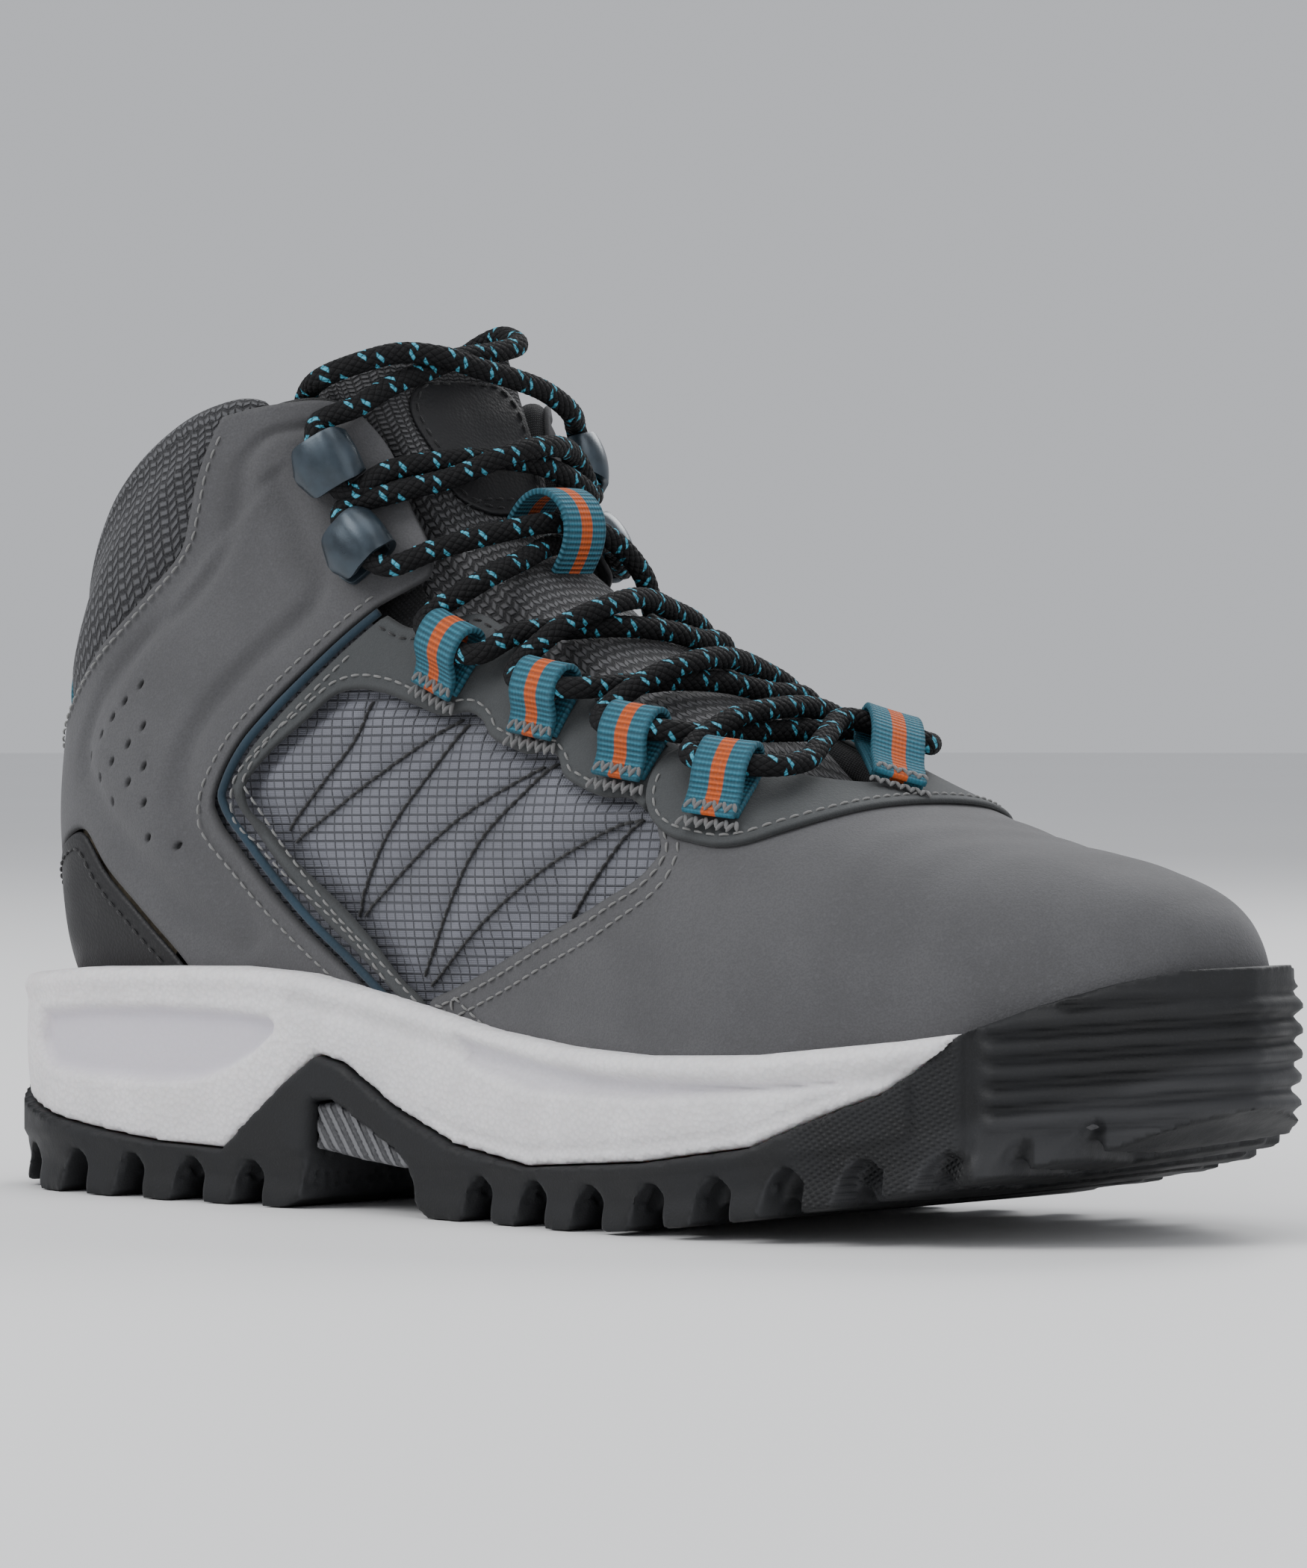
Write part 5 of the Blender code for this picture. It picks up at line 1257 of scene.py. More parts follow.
def make_lining():
    """A closed sock with a slot at the throat. It meets itself along the sole and at the toe."""
    top = smooth_run([(0.30, 0.928)] + COLLAR_TOP[2:], 2)
    rows = [(1.0, v) for v in np.linspace(0.945, 0.002, 150)]
    toe = [(a, 0.0) for a in np.linspace(0.97, 0.03, 30)]
    half = np.concatenate([smooth_run(LINING_THROAT[::-1], 2), top, rows, toe])
    panel("bootie_lining", joined(half, [(0, 0)], mirrored(half)), "lining",
          lambda u, v: -lining_depth(u, v), LINING_THICKNESS, roll=0.5, spacing=3.0)


def make_inner_parts():
    """What the boot holds inside, besides the stiffeners kept from the CAD: the collar's foam and the
    footbed.
    """
    high = [(0.52, 0.90), (0.53, 0.968), (0.62, 0.964), (0.70, 0.954), (0.78, 0.942), (0.88, 0.936),
            (1.0, 0.935)]
    low = [(0.52, 0.90), (0.55, 0.872), (0.66, 0.868), (0.80, 0.868), (1.0, 0.868)]
    pad("collar_padding", heel_band(smooth_run(high, 3), smooth_run(low, 3)), "foam",
        -STIFFENER_DEPTH, PADDING_THICKNESS, spacing=3.0)
    edge = [(0.89, 0.10), (0.875, 0.14), (0.865, 0.30), (0.865, 0.50), (0.875, 0.60), (0.90, 0.65)]
    side = smooth_run(edge, 2.5)
    outline = joined(side, [(1.0, 0.665)], (side * [-1, 1] + [2, 0])[::-1], [(1.0, 0.095)])
    pad("footbed", outline, "footbed", -FOOTBED_DEPTH, FOOTBED_THICKNESS, rim=2.0, spacing=2.5,
        body="footbed")


def rolled_edge(name, run, outer, inner, rise, look):
    """A padded edge along a run in (u, v): an oval tube between an outer and an inner depth."""
    u, v = run.T
    count, around = len(u), 20
    angles = np.linspace(0, 2 * math.pi, around, endpoint=False)
    from_end = np.minimum(np.arange(count), np.arange(count)[::-1])
    ends = np.sqrt(np.clip(1 - np.clip(1 - from_end / 6, 0, 1) ** 2, 0, 1))
    ends = np.maximum(ends, 0.05)[:, None]
    depth_out, depth_in = (heights(depth, u, v)[:, None] for depth in (outer, inner))
    middle, half = (depth_out + depth_in) / 2, (depth_in - depth_out) / 2 * ends
    centre = lifted(u, v, -middle[:, 0], DEEP_REACH)
    along = unit(np.gradient(centre, axis=0))
    out = tangents(u, v, DEEP_REACH)[2]
    up = np.cross(along, out)
    up *= np.sign(up[:, 2:3].sum() or 1)
    out = np.cross(up, along) * np.sign((np.cross(up, along) * out).sum())
    rings = (centre[:, None] + out[:, None] * (np.cos(angles)[None, :] * half)[..., None]
             + up[:, None] * (np.sin(angles)[None, :] * rise * ends)[..., None])
    mesh = mesh_of(name, place(rings.reshape(-1, 3)), ring_faces(count, around))
    turn_outwards(mesh)
    lengths = lengths_along(centre)
    across = np.broadcast_to(angles / (2 * math.pi) * 26, (count, around))
    down = np.broadcast_to(lengths[:, None], (count, around))
    write_values(mesh, "weave", np.stack([down, across, across * 0], axis=-1).reshape(-1, 3))
    write_values(mesh, "edge", np.full(count * around, 5.0))
    obj = add_piece(name, mesh, look, "boot")
    return obj


def make_edges():
    """The padded roll round the collar, and the folded edges of the throat."""
    back = round_the_heel(smooth_run([(0.40, 0.960)] + COLLAR_TOP[4:], 1.6))
    back = back[np.append(True, np.linalg.norm(np.diff(back, axis=0) * FLAT, axis=1) > 0.3)]
    rolled_edge("collar_roll", back, 1.6, lambda u, v: lining_depth(u, v) + 0.6, 3.4, "collar_knit")
    for side, word in SIDES:
        ankle = on_side([(0.425, 0.955), (0.372, 0.943), (0.328, 0.931), (0.296, 0.915), (0.268, 0.885),
                         (0.252, 0.85), (0.246, 0.80), (0.250, 0.75), (0.262, 0.71), (0.292, 0.690),
                         (0.34, 0.688)], side)
        rolled_edge("ankle_facing_" + word, smooth_run(ankle, 1.6), 1.0, LINING_DEPTH + 0.8, 2.6,
                    "facing")
        throat = on_side([(0.365, 0.66), (0.352, 0.63), (0.31, 0.608), (0.276, 0.585), (0.262, 0.53),
                          (0.258, 0.46), (0.25, 0.41), (0.235, 0.375), (0.19, 0.35), (0.13, 0.315),
                          (0.07, 0.300)], side)
        rolled_edge("throat_facing_" + word, smooth_run(throat, 1.6), 0.9, LINING_DEPTH + 0.8, 1.7,
                    "facing")


def tongue_middle(v):
    """How deep the middle of the tongue lies: pressed in under the laces, proud above them."""
    return TONGUE_SUNK + (TONGUE_CROWN - TONGUE_SUNK) * smooth_step(0.70, 0.80, v)


def tongue_depth(u, v):
    """The tongue lies under the lining at its edges, and deepest where the lace's ends are tucked in."""
    wide = smooth_step(0.36, 0.42, v) * (1 - smooth_step(0.165, 0.25, abs(u)))
    tucked = smooth_step(0.26, 0.36, abs(u)) * smooth_step(0.87, 0.96, v)
    return TONGUE_DEPTH + (tongue_middle(v) - TONGUE_DEPTH) * wide + LACE_TUCK * tucked


def tongue_relief(u, v, _):
    """The pad swells a little between the places where laces press on it."""
    return 0.35 * np.sin(v * 64) * (1 - smooth_step(0.12, 0.22, abs(u))) * (v < 0.7)


def make_tongue():
    """The padded tongue, its plain patch and the patch's stitching."""
    half = np.concatenate([smooth_run(TONGUE_TOP, 2), smooth_run(TONGUE_SIDE, 2)])
    pad("tongue", whole(half), "tongue_knit", lambda u, v: -tongue_depth(u, v),
        TONGUE_THICKNESS, rim=2.8, body="tongue", relief=tongue_relief, spacing=1.5)
    patch = [(0.0, 0.955), (0.10, 0.948), (0.135, 0.915), (0.135, 0.80), (0.11, 0.73), (0.05, 0.71),
             (0.0, 0.708)]
    half = smooth_run(patch, FINE)
    panel("tongue_patch", whole(half), "film",
          lambda u, v: PATCH_THICKNESS + GAP - tongue_middle(v), PATCH_THICKNESS, roll=0.5, body="tongue")
    border = smooth_run(patch, FINE)

    def height(_, v):
        return PATCH_THICKNESS + GAP + 0.1 - tongue_middle(v)

    runs = [(on_side(shifted(border, -2.2), side)[2:-2], height) for side in (-1, 1)]
    runs += [(on_side([(0.0, v), (0.06, v + 0.001), (0.115, v - 0.003)], side), height)
             for v in (0.795, 0.727) for side in (-1, 1)]
    seam_stitches("tongue_patch_stitching", runs, "black_thread", body="tongue")


def make_piping(word, side):
    """The dark cord along the quarter's front edge."""
    line = shifted(smooth_run(PIPING_LINE, 2), -PIPING_DIAMETER / 2 - PIPING_GAP)
    line = line[line[:, 0] < 0.78]
    points, directions, _ = even_points(lifted(side * line[:, 0], line[:, 1], -0.3), 1.0)
    mesh = tube_mesh("piping_" + word, points, directions, (0, 0, 1), PIPING_DIAMETER / 2, 12)
    add_piece("piping_" + word, mesh, "piping", "boot", ("piping_" + word,))


def make_seams():
    """Rows of stitching on the upper. A negative shift lies to the right of a run as it goes."""
    pale, dark = [], []
    for side in (-1, 1):
        vamp, piping, window = (smooth_run(run, 3) for run in (VAMP_EDGE, PIPING_LINE, WINDOW_EDGE))
        for shift in (-1.9, -4.6):
            pale.append((on_side(shifted(vamp, shift), side), 0.30))
        pale.append((on_side(shifted(piping, 2.3), side), 0.14))
        rear = shifted(piping, -PIPING_DIAMETER - 2 * PIPING_GAP - 2.0)
        pale.append((on_side(rear[2:], side), 0.14))
        pale.append((on_side(shifted(window, -2.0)[2:-3], side), 0.14))
        tab = shifted(smooth_run(TAB_FRONT, 3), -2.2)
        pale.append((on_side(tab[4:], side), OVERLAY_HEIGHT + 0.14))
        pale.append((on_side(shifted(smooth_run(COLLAR_LINE, 3), -2.2)[2:], side), 0.95))
        dark.append((on_side(shifted(smooth_run(HEEL_LINE, 3), -2.6), side), 0.40))
        dark.append((on_side(shifted(smooth_run(THROAT_EDGE, 3), -2.0)[2:], side), 0.14))
    seam_stitches("upper_stitching", pale, "pale_thread")
    seam_stitches("heel_and_throat_stitching", dark, "black_thread")
    cords = [(on_side(run, side), lambda u, v: window_relief(u, v, None) - LAYER_STEP + 0.75)
             for side in (-1, 1) for run in ZIGZAGS]
    seam_stitches("window_zigzag", cords, "black_thread", step=2.3, length=2.5, radius=0.36)


# ---------------------------------------------------------------- fittings

def strap(name, line, width, matrix, body, replaces):
    """Webbing bent along a line of (x, z) in a fitting's own frame, its width along the frame's y."""
    flat = np.array([(x, 0, z) for x, z in line], float)
    points, directions, lengths = even_points(flat, 0.6)
    across = np.linspace(-1, 1, 13)
    normal = np.cross(directions, [0, 1, 0])
    rows = points[:, None] + np.array([0, 1, 0])[None, None] * (across * width / 2)[None, :, None]
    rows = rows - normal[:, None] * (0.12 * across**2)[None, :, None]
    corners = [matrix @ Vector(p * MM) for p in rows.reshape(-1, 3)]
    mesh = mesh_of(name, corners, sheet_faces(len(points), len(across)))
    weave = np.stack(np.broadcast_arrays(across[None] * width / 2, lengths[:, None], 0.0), axis=-1)
    write_values(mesh, "weave", weave.reshape(-1, 3))
    obj = add_piece(name, mesh, "webbing", body, replaces)
    thicken(obj, WEBBING_THICKNESS, 0.3, 2)


def loop_line(length):
    """The middle of a lace loop's webbing: out under the lace, round it, and back to the foot."""
    core = FOLD_RADIUS - WEBBING_THICKNESS / 2
    fold = arc(length, FOLD_RADIUS, core, -90, 90, 10)
    under = [(0.0, WEBBING_THICKNESS / 2), (length / 2, WEBBING_THICKNESS / 2)]
    back = [(length * 0.6, 2 * FOLD_RADIUS - WEBBING_THICKNESS / 2 - 0.9),
            (length * 0.25, WEBBING_THICKNESS * 2.4), (0.4, WEBBING_THICKNESS * 1.6),
            (-1.6, WEBBING_THICKNESS * 1.25)]
    return under + fold + back


def bar_tack(matrix, x, width, height):
    """A dense bar of slanting stitches across a strap's foot."""
    ys = np.arange(-width / 2, width / 2 + 0.01, 1.05)
    base = np.array([(x + 0.25 * (-1) ** i, y, height) for i, y in enumerate(ys)])
    slant = np.array([(1.0, 0.42 * (-1) ** i, 0) for i in range(len(ys))])
    centres = np.array([np.array(matrix @ Vector(p * MM)) / MM + ORIGIN for p in base])
    turn = np.array(matrix.to_3x3())
    return centres, slant @ turn.T, np.tile(turn[:, 2], (len(ys), 1))


def make_lace_loops():
    """The eight folded loops beside the throat, each sewn down by two bars of stitches."""
    tacks = []
    for name, (matrix, length) in loop_frames().items():
        strap(name, loop_line(length), WEBBING_WIDTH, matrix, "boot", (name,))
        tacks.append(bar_tack(matrix, -2.6, WEBBING_WIDTH + 1.0, 0.35))
        tacks.append(bar_tack(matrix, 0.1, WEBBING_WIDTH - 1.0, 2.65))
    mesh = stitches_mesh("loop_bar_tacks", *(np.concatenate(part) for part in zip(*tacks)), 2.7, 0.46)
    add_piece("loop_bar_tacks", mesh, "tack_thread", "boot")


def arch_line(length, height):
    """The middle of a strap that stands up in an arch from its two ends."""
    steps = 24
    span, top = length - WEBBING_THICKNESS, height - WEBBING_THICKNESS / 2
    return [(-math.cos(math.pi * i / steps) * span / 2, math.sin(math.pi * i / steps) ** 0.7 * top + 0.3)
            for i in range(steps + 1)]


def make_standing_loops():
    """The lace's loop on the tongue and the pull loop at the back of the collar."""
    u, v = TONGUE_LOOP_PLACE
    _, along, out = tangents(u, v)
    matrix = frame_at(lifted(u, v, -TONGUE_SUNK + 4 * GAP), along, out)
    strap("tongue_lace_loop", arch_line(*TONGUE_LOOP_SIZE), WEBBING_WIDTH, matrix, "tongue",
          ("tongue_lace_loop",))
    _, along, out = tangents(*PULL_LOOP_PLACE)
    matrix = frame_at(lifted(*PULL_LOOP_PLACE, 0.2), along, out)
    strap("heel_pull_loop", arch_line(*PULL_LOOP_SIZE), WEBBING_WIDTH, matrix, "boot", ("heel_pull_loop",))


def make_hooks():
    """Speed hooks: a foot, a neck on the throat side and a domed shield that curls back over the lace."""
    middle = HOOK_RADIUS + HOOK_THICKNESS / 2
    line = [(9.0, 0.75), (4.0, 0.75), (-0.6, 0.80), (-2.9, 1.5)]
    line += arc(0, HOOK_CENTRE, middle, 190, 70, 9)
    line += [(4.4, HOOK_CENTRE + 3.0), (7.2, HOOK_CENTRE + 1.2), (8.7, HOOK_CENTRE - 0.5)]
    flat = np.array([(x, 0, z) for x, z in line], float)
    points, directions, lengths = even_points(flat, 0.45)
    share = lengths / lengths[-1]
    neck = 0.80 + 0.20 * smooth_step(0.45, 0.62, share)
    tip = np.sqrt(np.clip(1 - np.clip((share - 0.86) / 0.14, 0, 1) ** 2.6, 0.0, 1))
    heel = np.sqrt(np.clip(1 - np.clip((0.07 - share) / 0.07, 0, 1) ** 2.6, 0.0, 1))
    widths = (HOOK_WIDTH / 2 + 0.4) * neck * np.maximum(np.minimum(tip, heel), 0.30)
    across = np.linspace(-1, 1, 15)
    normal = np.cross(directions, [0, 1, 0])
    domed = HOOK_DROP * smooth_step(0.40, 0.56, share)
    rows = points[:, None] + np.array([0, 1, 0])[None, None] * (across[None, :] * widths[:, None])[..., None]
    rows = rows - normal[:, None] * (domed[:, None] * across[None, :] ** 2)[..., None]
    faces = sheet_faces(len(points), len(across))
    for name, matrix in hook_frames().items():
        mesh = mesh_of(name, [matrix @ Vector(p * MM) for p in rows.reshape(-1, 3)], faces)
        obj = add_piece(name, mesh, "hook", "boot", (name,))
        thicken(obj, HOOK_THICKNESS, 0.5, 3)
        make_rivet(name.replace("hook", "hook_rivet"), matrix)


def make_rivet(name, matrix):
    """A domed head on the hook's foot."""
    shape = bmesh.new()
    bmesh.ops.create_uvsphere(shape, u_segments=24, v_segments=14, radius=2.2 * MM)
    for vert in shape.verts:
        vert.co.z = max(vert.co.z, -0.4 * MM) * 0.45
    mesh = bpy.data.meshes.new(name)
    shape.to_mesh(mesh)
    shape.free()
    mesh.shade_smooth()
    mesh.transform(matrix @ Matrix.Translation((5.2 * MM, 0, (HOOK_FOOT + GAP + 0.2) * MM)))
    add_piece(name, mesh, "rivet", "boot", (name,))


# ---------------------------------------------------------------- lace

def write_turns(mesh, name, lengths, around):
    """How far along a tube a face's corner lies, and how far round, with no jump where the turn closes."""
    corner = np.empty(len(mesh.loops), int)
    mesh.loops.foreach_get("vertex_index", corner)
    first, size = (np.empty(len(mesh.polygons), int) for _ in range(2))
    mesh.polygons.foreach_get("loop_start", first)
    mesh.polygons.foreach_get("loop_total", size)
    ring, turn = corner // around, corner % around
    last = np.repeat(np.maximum.reduceat(turn, first), size) == around - 1
    turn = np.where(last & (turn == 0) & np.repeat(size == 4, size), around, turn)
    values = np.column_stack([lengths[ring], turn / around, np.zeros(len(turn))]).astype(np.float32)
    mesh.attributes.new(name, "FLOAT_VECTOR", "CORNER").data.foreach_set("vector", values.ravel())


def make_lace():
    """The round braided lace along its laced route, an aglet on each end."""
    points, directions, lengths = even_points(lace_line(), 0.55)
    around = 24
    angles = np.linspace(0, 2 * math.pi, around, endpoint=False)
    along = (lengths / BRAID_STEP)[:, None]
    turn = (angles / (2 * math.pi) * BRAID_CELLS)[None]
    cell = abs(np.sin(math.pi * (along + turn) ) * np.sin(math.pi * (along - turn)))
    radius = LACE_DIAMETER / 2 * (0.93 + 0.10 * np.sqrt(cell))
    mesh = tube_mesh("lace", points, directions, (0, 0, 1), radius, around)
    write_turns(mesh, "braid", lengths, around)
    lace = add_piece("lace", mesh, "lace", "boot", ("lace",))
    ends = (("aglet_medial", points[0], -directions[0]), ("aglet_lateral", points[-1], directions[-1]))
    for name, end, direction in ends:
        core = np.array([end + direction * s for s in np.linspace(GAP, AGLET_LENGTH, 24)])
        size = np.full((24, 16), AGLET_RADIUS)
        size[[0, -1]] = AGLET_RADIUS - 0.35
        size[[2, 3, 20]] = AGLET_RADIUS - 0.08
        tube = tube_mesh(name, core, np.tile(direction, (24, 1)), (0, 1, 0.2), size, 16)
        add_piece(name, tube, "aglet", "boot", (name,))


# ---------------------------------------------------------------- sole

RECESS = [(21, 37.9), (40, 39.4), (62, 40.2), (80, 39.9), (94, 39), (96.5, 37), (96, 34.4), (90, 30),
          (82, 26.2), (73, 23.6), (62, 22.9), (51, 23.1), (38, 23.6), (25, 24.6), (20, 30)]
WEDGE = [(148, 37.6), (159, 35.6), (175, 33), (192, 31.4), (230, 31.0), (263, 32.6), (240, 28.4),
         (203, 25.4), (172, 25.6), (152, 30)]
SOLE_VOXEL = 0.8
GROOVE_PLACES = [11, 28, 45, 62, 79, 145, 161, 177, 193, 209, 225, 241, 257, 271, 283]
CHEVRON = 0.22  # how far a groove runs forward for each millimetre out from the middle
NOTCH_HEIGHT = 9.0


def sole_outline(inset, step, medial_inset=None):
    """The sole's plan, moved inwards by the inset, with a new point about every step millimetres."""
    keys = lengths_along(SOLE_PLAN[:, :2])
    plan = hermite(keys, SOLE_PLAN, np.linspace(0, keys[-1], int(keys[-1] / step)))
    outline = np.concatenate([plan[:, [0, 1]], plan[-2:0:-1, [0, 2]]])
    direction = np.roll(outline, -1, axis=0) - np.roll(outline, 1, axis=0)
    inward = np.stack([-direction[:, 1], direction[:, 0]], axis=1)
    if medial_inset is not None:
        inset = inset + (medial_inset - inset) * smooth_step(5, 30, outline[:, 1:2])
    return outline + unit(inward) * inset


def prism(name, outline, low, high, upright_view=False):
    """A solid with a flat outline: a plan in (x, y), or a side view in (x, z), from low to high."""
    count = len(outline)
    rings = [[(x, level, z) if upright_view else (x, z, level) for x, z in outline] for level in (low, high)]
    faces = [(i, (i + 1) % count, count + (i + 1) % count, count + i) for i in range(count)]
    faces += [tuple(range(count))[::-1], tuple(range(count, 2 * count))]
    mesh = mesh_of(name, place(np.array(rings[0] + rings[1], float)), faces, smooth=False)
    return closed_helper(name, mesh)


def closed_helper(name, mesh):
    """A helper object, its faces turned outwards and made triangles."""
    shape = bmesh.new()
    shape.from_mesh(mesh)
    bmesh.ops.triangulate(shape, faces=[f for f in shape.faces if len(f.verts) > 4])
    bmesh.ops.recalc_face_normals(shape, faces=shape.faces)
    shape.to_mesh(mesh)
    shape.free()
    obj = bpy.data.objects.new(name, mesh)
    bpy.context.scene.collection.objects.link(obj)
    return obj


def last_cutter():
    """The cup that the upper sits in."""
    around = np.linspace(-1, 1, 121)[:-1]
    along = np.concatenate([[0.025, 0.04, 0.055, 0.07, 0.09, 0.11, 0.13, 0.15, 0.17],
                            np.arange(0.19, 0.84, 0.015)])
    rows = [lifted(around, np.full(len(around), v), np.full(len(around), -CUP_DEPTH)) for v in along]
    count = len(around)
    *faces, _, rear = ring_faces(len(rows), count)
    nose = surface(0.0, 0.0) + [1.5 * CUP_CLEARANCE, 0, -7]
    faces += [(len(rows) * count, (i + 1) % count, i) for i in range(count)]
    faces += [rear]
    mesh = mesh_of("last_cutter", place(np.concatenate(rows + [nose[None]])), faces, smooth=False)
    return closed_helper("last_cutter", mesh)


def tread_grooves():
    """Grooves in chevrons between the lugs, wider at the ground, and notches that open them at the sides."""
    found = []
    for number, x in enumerate(GROOVE_PLACES):
        ground = max(line_at(GROUND_LINE[:7], x), 0) if x > 190 else 0
        section = [(-3.8, ground - 6), (3.8, ground - 6), (3.1, ground), (2.0, ground + 4.2),
                   (0, ground + 5.0), (-2.0, ground + 4.2), (-3.1, ground)]
        for side in (-1, 1):
            low, high = sorted((-side * 0.4, side * 90))
            groove = prism(f"groove_{number}_{side}", [(x + a, b) for a, b in section], low, high,
                           upright_view=True)
            shear = Matrix.Identity(4)
            shear[0][1] = side * CHEVRON
            groove.data.transform(shear)
            edge = line_at(SOLE_PLAN[:, [0, 1 if side < 0 else 2]], x)
            middle = x + CHEVRON * abs(edge)
            foot = max(line_at(GROUND_LINE[:7], middle), 0) if middle > 190 else 0
            tall = NOTCH_HEIGHT - 2.5 * smooth_step(245, 270, middle)
            notch = [(-5.6, foot - 6), (4.6, foot - 6), (4.2, foot), (3.8, foot + tall * 0.75),
                     (2.2, foot + tall), (-0.8, foot + tall), (-3.0, foot + tall * 0.6), (-5.0, foot)]
            low, high = sorted((edge - side * 7.5, edge + side * 12))
            cutter = prism(f"notch_{number}_{side}", [(middle + a, b) for a, b in notch], low, high,
                           upright_view=True)
            found += [groove, cutter]
    return found


def moulded(name, side_view, inset, cutters, relief, look, voxel=SOLE_VOXEL, medial_inset=None):
    """The sole's plan cut to a side view and by cutters, softened like a moulding and given its relief."""
    block = prism(name + "_block", sole_outline(inset, 3.0, medial_inset), -10, 70)
    view = prism(name + "_view", side_view, -80, 80, upright_view=True)
    for operation, other in [("INTERSECT", view)] + [("DIFFERENCE", cutter) for cutter in cutters]:
        modifier = block.modifiers.new(operation.lower(), "BOOLEAN")
        modifier.operation = operation
        modifier.solver = "EXACT"
        modifier.object = other
    modifier = block.modifiers.new("remesh", "REMESH")
    modifier.mode = "VOXEL"
    modifier.voxel_size = voxel * MM
    modifier = block.modifiers.new("soften", "SMOOTH")
    modifier.iterations = 2
    modifier.factor = 0.5
    graph = bpy.context.evaluated_depsgraph_get()
    mesh = bpy.data.meshes.new_from_object(block.evaluated_get(graph))
    for helper in (block, view):
        bpy.data.objects.remove(helper)
    mesh.name = name
    count = len(mesh.vertices)
    points, normals = np.empty(count * 3), np.empty(count * 3)
    mesh.vertices.foreach_get("co", points)
    mesh.vertices.foreach_get("normal", normals)
    points, normals = points.reshape(-1, 3) / MM + ORIGIN, normals.reshape(-1, 3)
    centre = np.column_stack([np.clip(points[:, 0], 55, 245), np.zeros(count)])
    outward = ((points[:, :2] - centre) * normals[:, :2]).sum(axis=1) > 0
    wall = (1 - smooth_step(0.45, 0.8, abs(normals[:, 2]))) * outward
    height, values = relief(points, normals, wall)
    level = normals * [1, 1, 0]
    level /= np.maximum(np.linalg.norm(level, axis=1), 1e-6)[:, None]
    points = points + level * (height * wall)[:, None]
    mesh.vertices.foreach_set("co", place(points).ravel())
    mesh.shade_smooth()
    for key, value in values.items():
        write_values(mesh, key, value)
    mesh.materials.clear()
    add_piece(name, mesh, look, "boot", (name,))


def side_depth(x, z, outline, soft):
    """1 well inside an outline in a side view, 0 outside."""
    points, outline = np.column_stack([x, z]), np.array(outline, float)
    keep = (points[:, 0] > outline[:, 0].min()) & (points[:, 0] < outline[:, 0].max())
    found = np.zeros(len(points))
    depth = in_batches(clearance, points[keep], outline, 4000)
    sign = np.where(in_batches(inside, points[keep], outline, 4000), 1, -1)
    found[keep] = smooth_step(0, soft, depth * sign)
    return found


def line_at(line, x):
    """The height of a side view's line at x."""
    line = np.array(sorted(map(tuple, line)), float)
    return np.interp(x, line[:, 0], line[:, 1])


def midsole_relief(points, _, wall):
    """A lip along the top, a sunken panel at the heel, a long wedge at the forefoot and a full belly."""
    x, z = points[:, 0], points[:, 2]
    low, high = line_at(RUBBER_LINE, x), line_at(MIDSOLE_TOP, x)
    share = np.clip((z - low) / np.maximum(high - low, 1), 0, 1)
    belly = 0.9 * np.sin(math.pi * share) ** 0.8
    lip = 1.1 * np.exp(-((high - z - 2.4) / 2.0) ** 2)
    under_lip = -0.7 * np.exp(-((high - z - 6.2) / 1.3) ** 2) * (x > 100)
    recess, wedge = side_depth(x, z, RECESS, 2.6), side_depth(x, z, WEDGE, 2.2)
    medial = smooth_step(0, 20, points[:, 1])
    crease = -0.5 * np.exp(-((z - low - 3.0) / 1.0) ** 2) * (x > 140)
    height = belly + lip + under_lip + crease - 3.0 * recess - (2.1 - 1.3 * medial) * wedge
    # painted shade: the recess and, more faintly, the wedge are marked to be tinted grey
    return height, {"hollow": np.maximum(recess, 0.55 * wedge) * (wall > 0.1)}


def outsole_relief(points, normals, wall):
    """Waisted lugs, horizontal ribs on the toe's bumper and a finely textured patch beside them."""
    x, z = points[:, 0], points[:, 2]
    ground = np.where(x > 190, line_at(GROUND_LINE[:7], x), 0)
    taper = -0.6 * np.exp(-((z - ground - 6) / 2.5) ** 2)
    front = smooth_step(273, 276, x) * smooth_step(20, 23, z) * (1 - smooth_step(46.5, 49, z))
    part = ((z - 22 - 0.10 * (x - 280)) / 4.6) % 1
    ribs = front * (1.9 * smooth_step(0.0, 0.28, part) * (1 - smooth_step(0.45, 1.0, part)) - 0.2)
    rear_rib = -1.2 * np.exp(-((x - 272) / 1.2) ** 2) * smooth_step(12, 20, z)
    step = 0.8 * smooth_step(0, 1.5, z - ground - 10.0) * (x < 262)
    above = z - ground
    # painted highlight: marks the lug faces near the ground that face forwards or backwards
    facet = smooth_step(0.35, 0.65, abs(normals[:, 0])) * (1 - smooth_step(9, 13, above)) * (above > 0.6)
    texture = smooth_step(238, 244, x) * (1 - smooth_step(269, 271, x)) * (wall > 0.2)
    return taper + ribs + rear_rib + step, {"facet": facet, "texture": texture}


def shank_relief(points, *_):
    """Slanting ribs."""
    x, z = points[:, 0], points[:, 2]
    ribs = abs(np.sin((x + 0.7 * z) * math.pi / 3.0))
    # the grooves between the ribs are marked for painted shade, which the shank's material does not read
    return 0.6 * ribs, {"hollow": 1 - ribs}


def make_sole():
    """Outsole, midsole and shank, which share one plan and are cut along the same lines."""
    last = last_cutter()
    grooves = tread_grooves()
    rubber = [(x, z - GAP / 2) for x, z in RUBBER_LINE] + TOE_WRAP_TOP[1:] + GROUND_LINE
    moulded("outsole", rubber, 0, [last] + grooves, outsole_relief, "rubber")
    foam = [(x, z + GAP / 2) for x, z in RUBBER_LINE[:-1]] + [(269.3, 40.3)] + MIDSOLE_TOP[1:]
    moulded("midsole", foam, 0.8, [last], midsole_relief, "midsole", medial_inset=-1.8)
    moulded("arch_shank", SHANK_SIDE, 2.0, [], shank_relief, "shank", voxel=0.8)
    for helper in [last] + grooves:
        bpy.data.objects.remove(helper)


# ---------------------------------------------------------------- studio

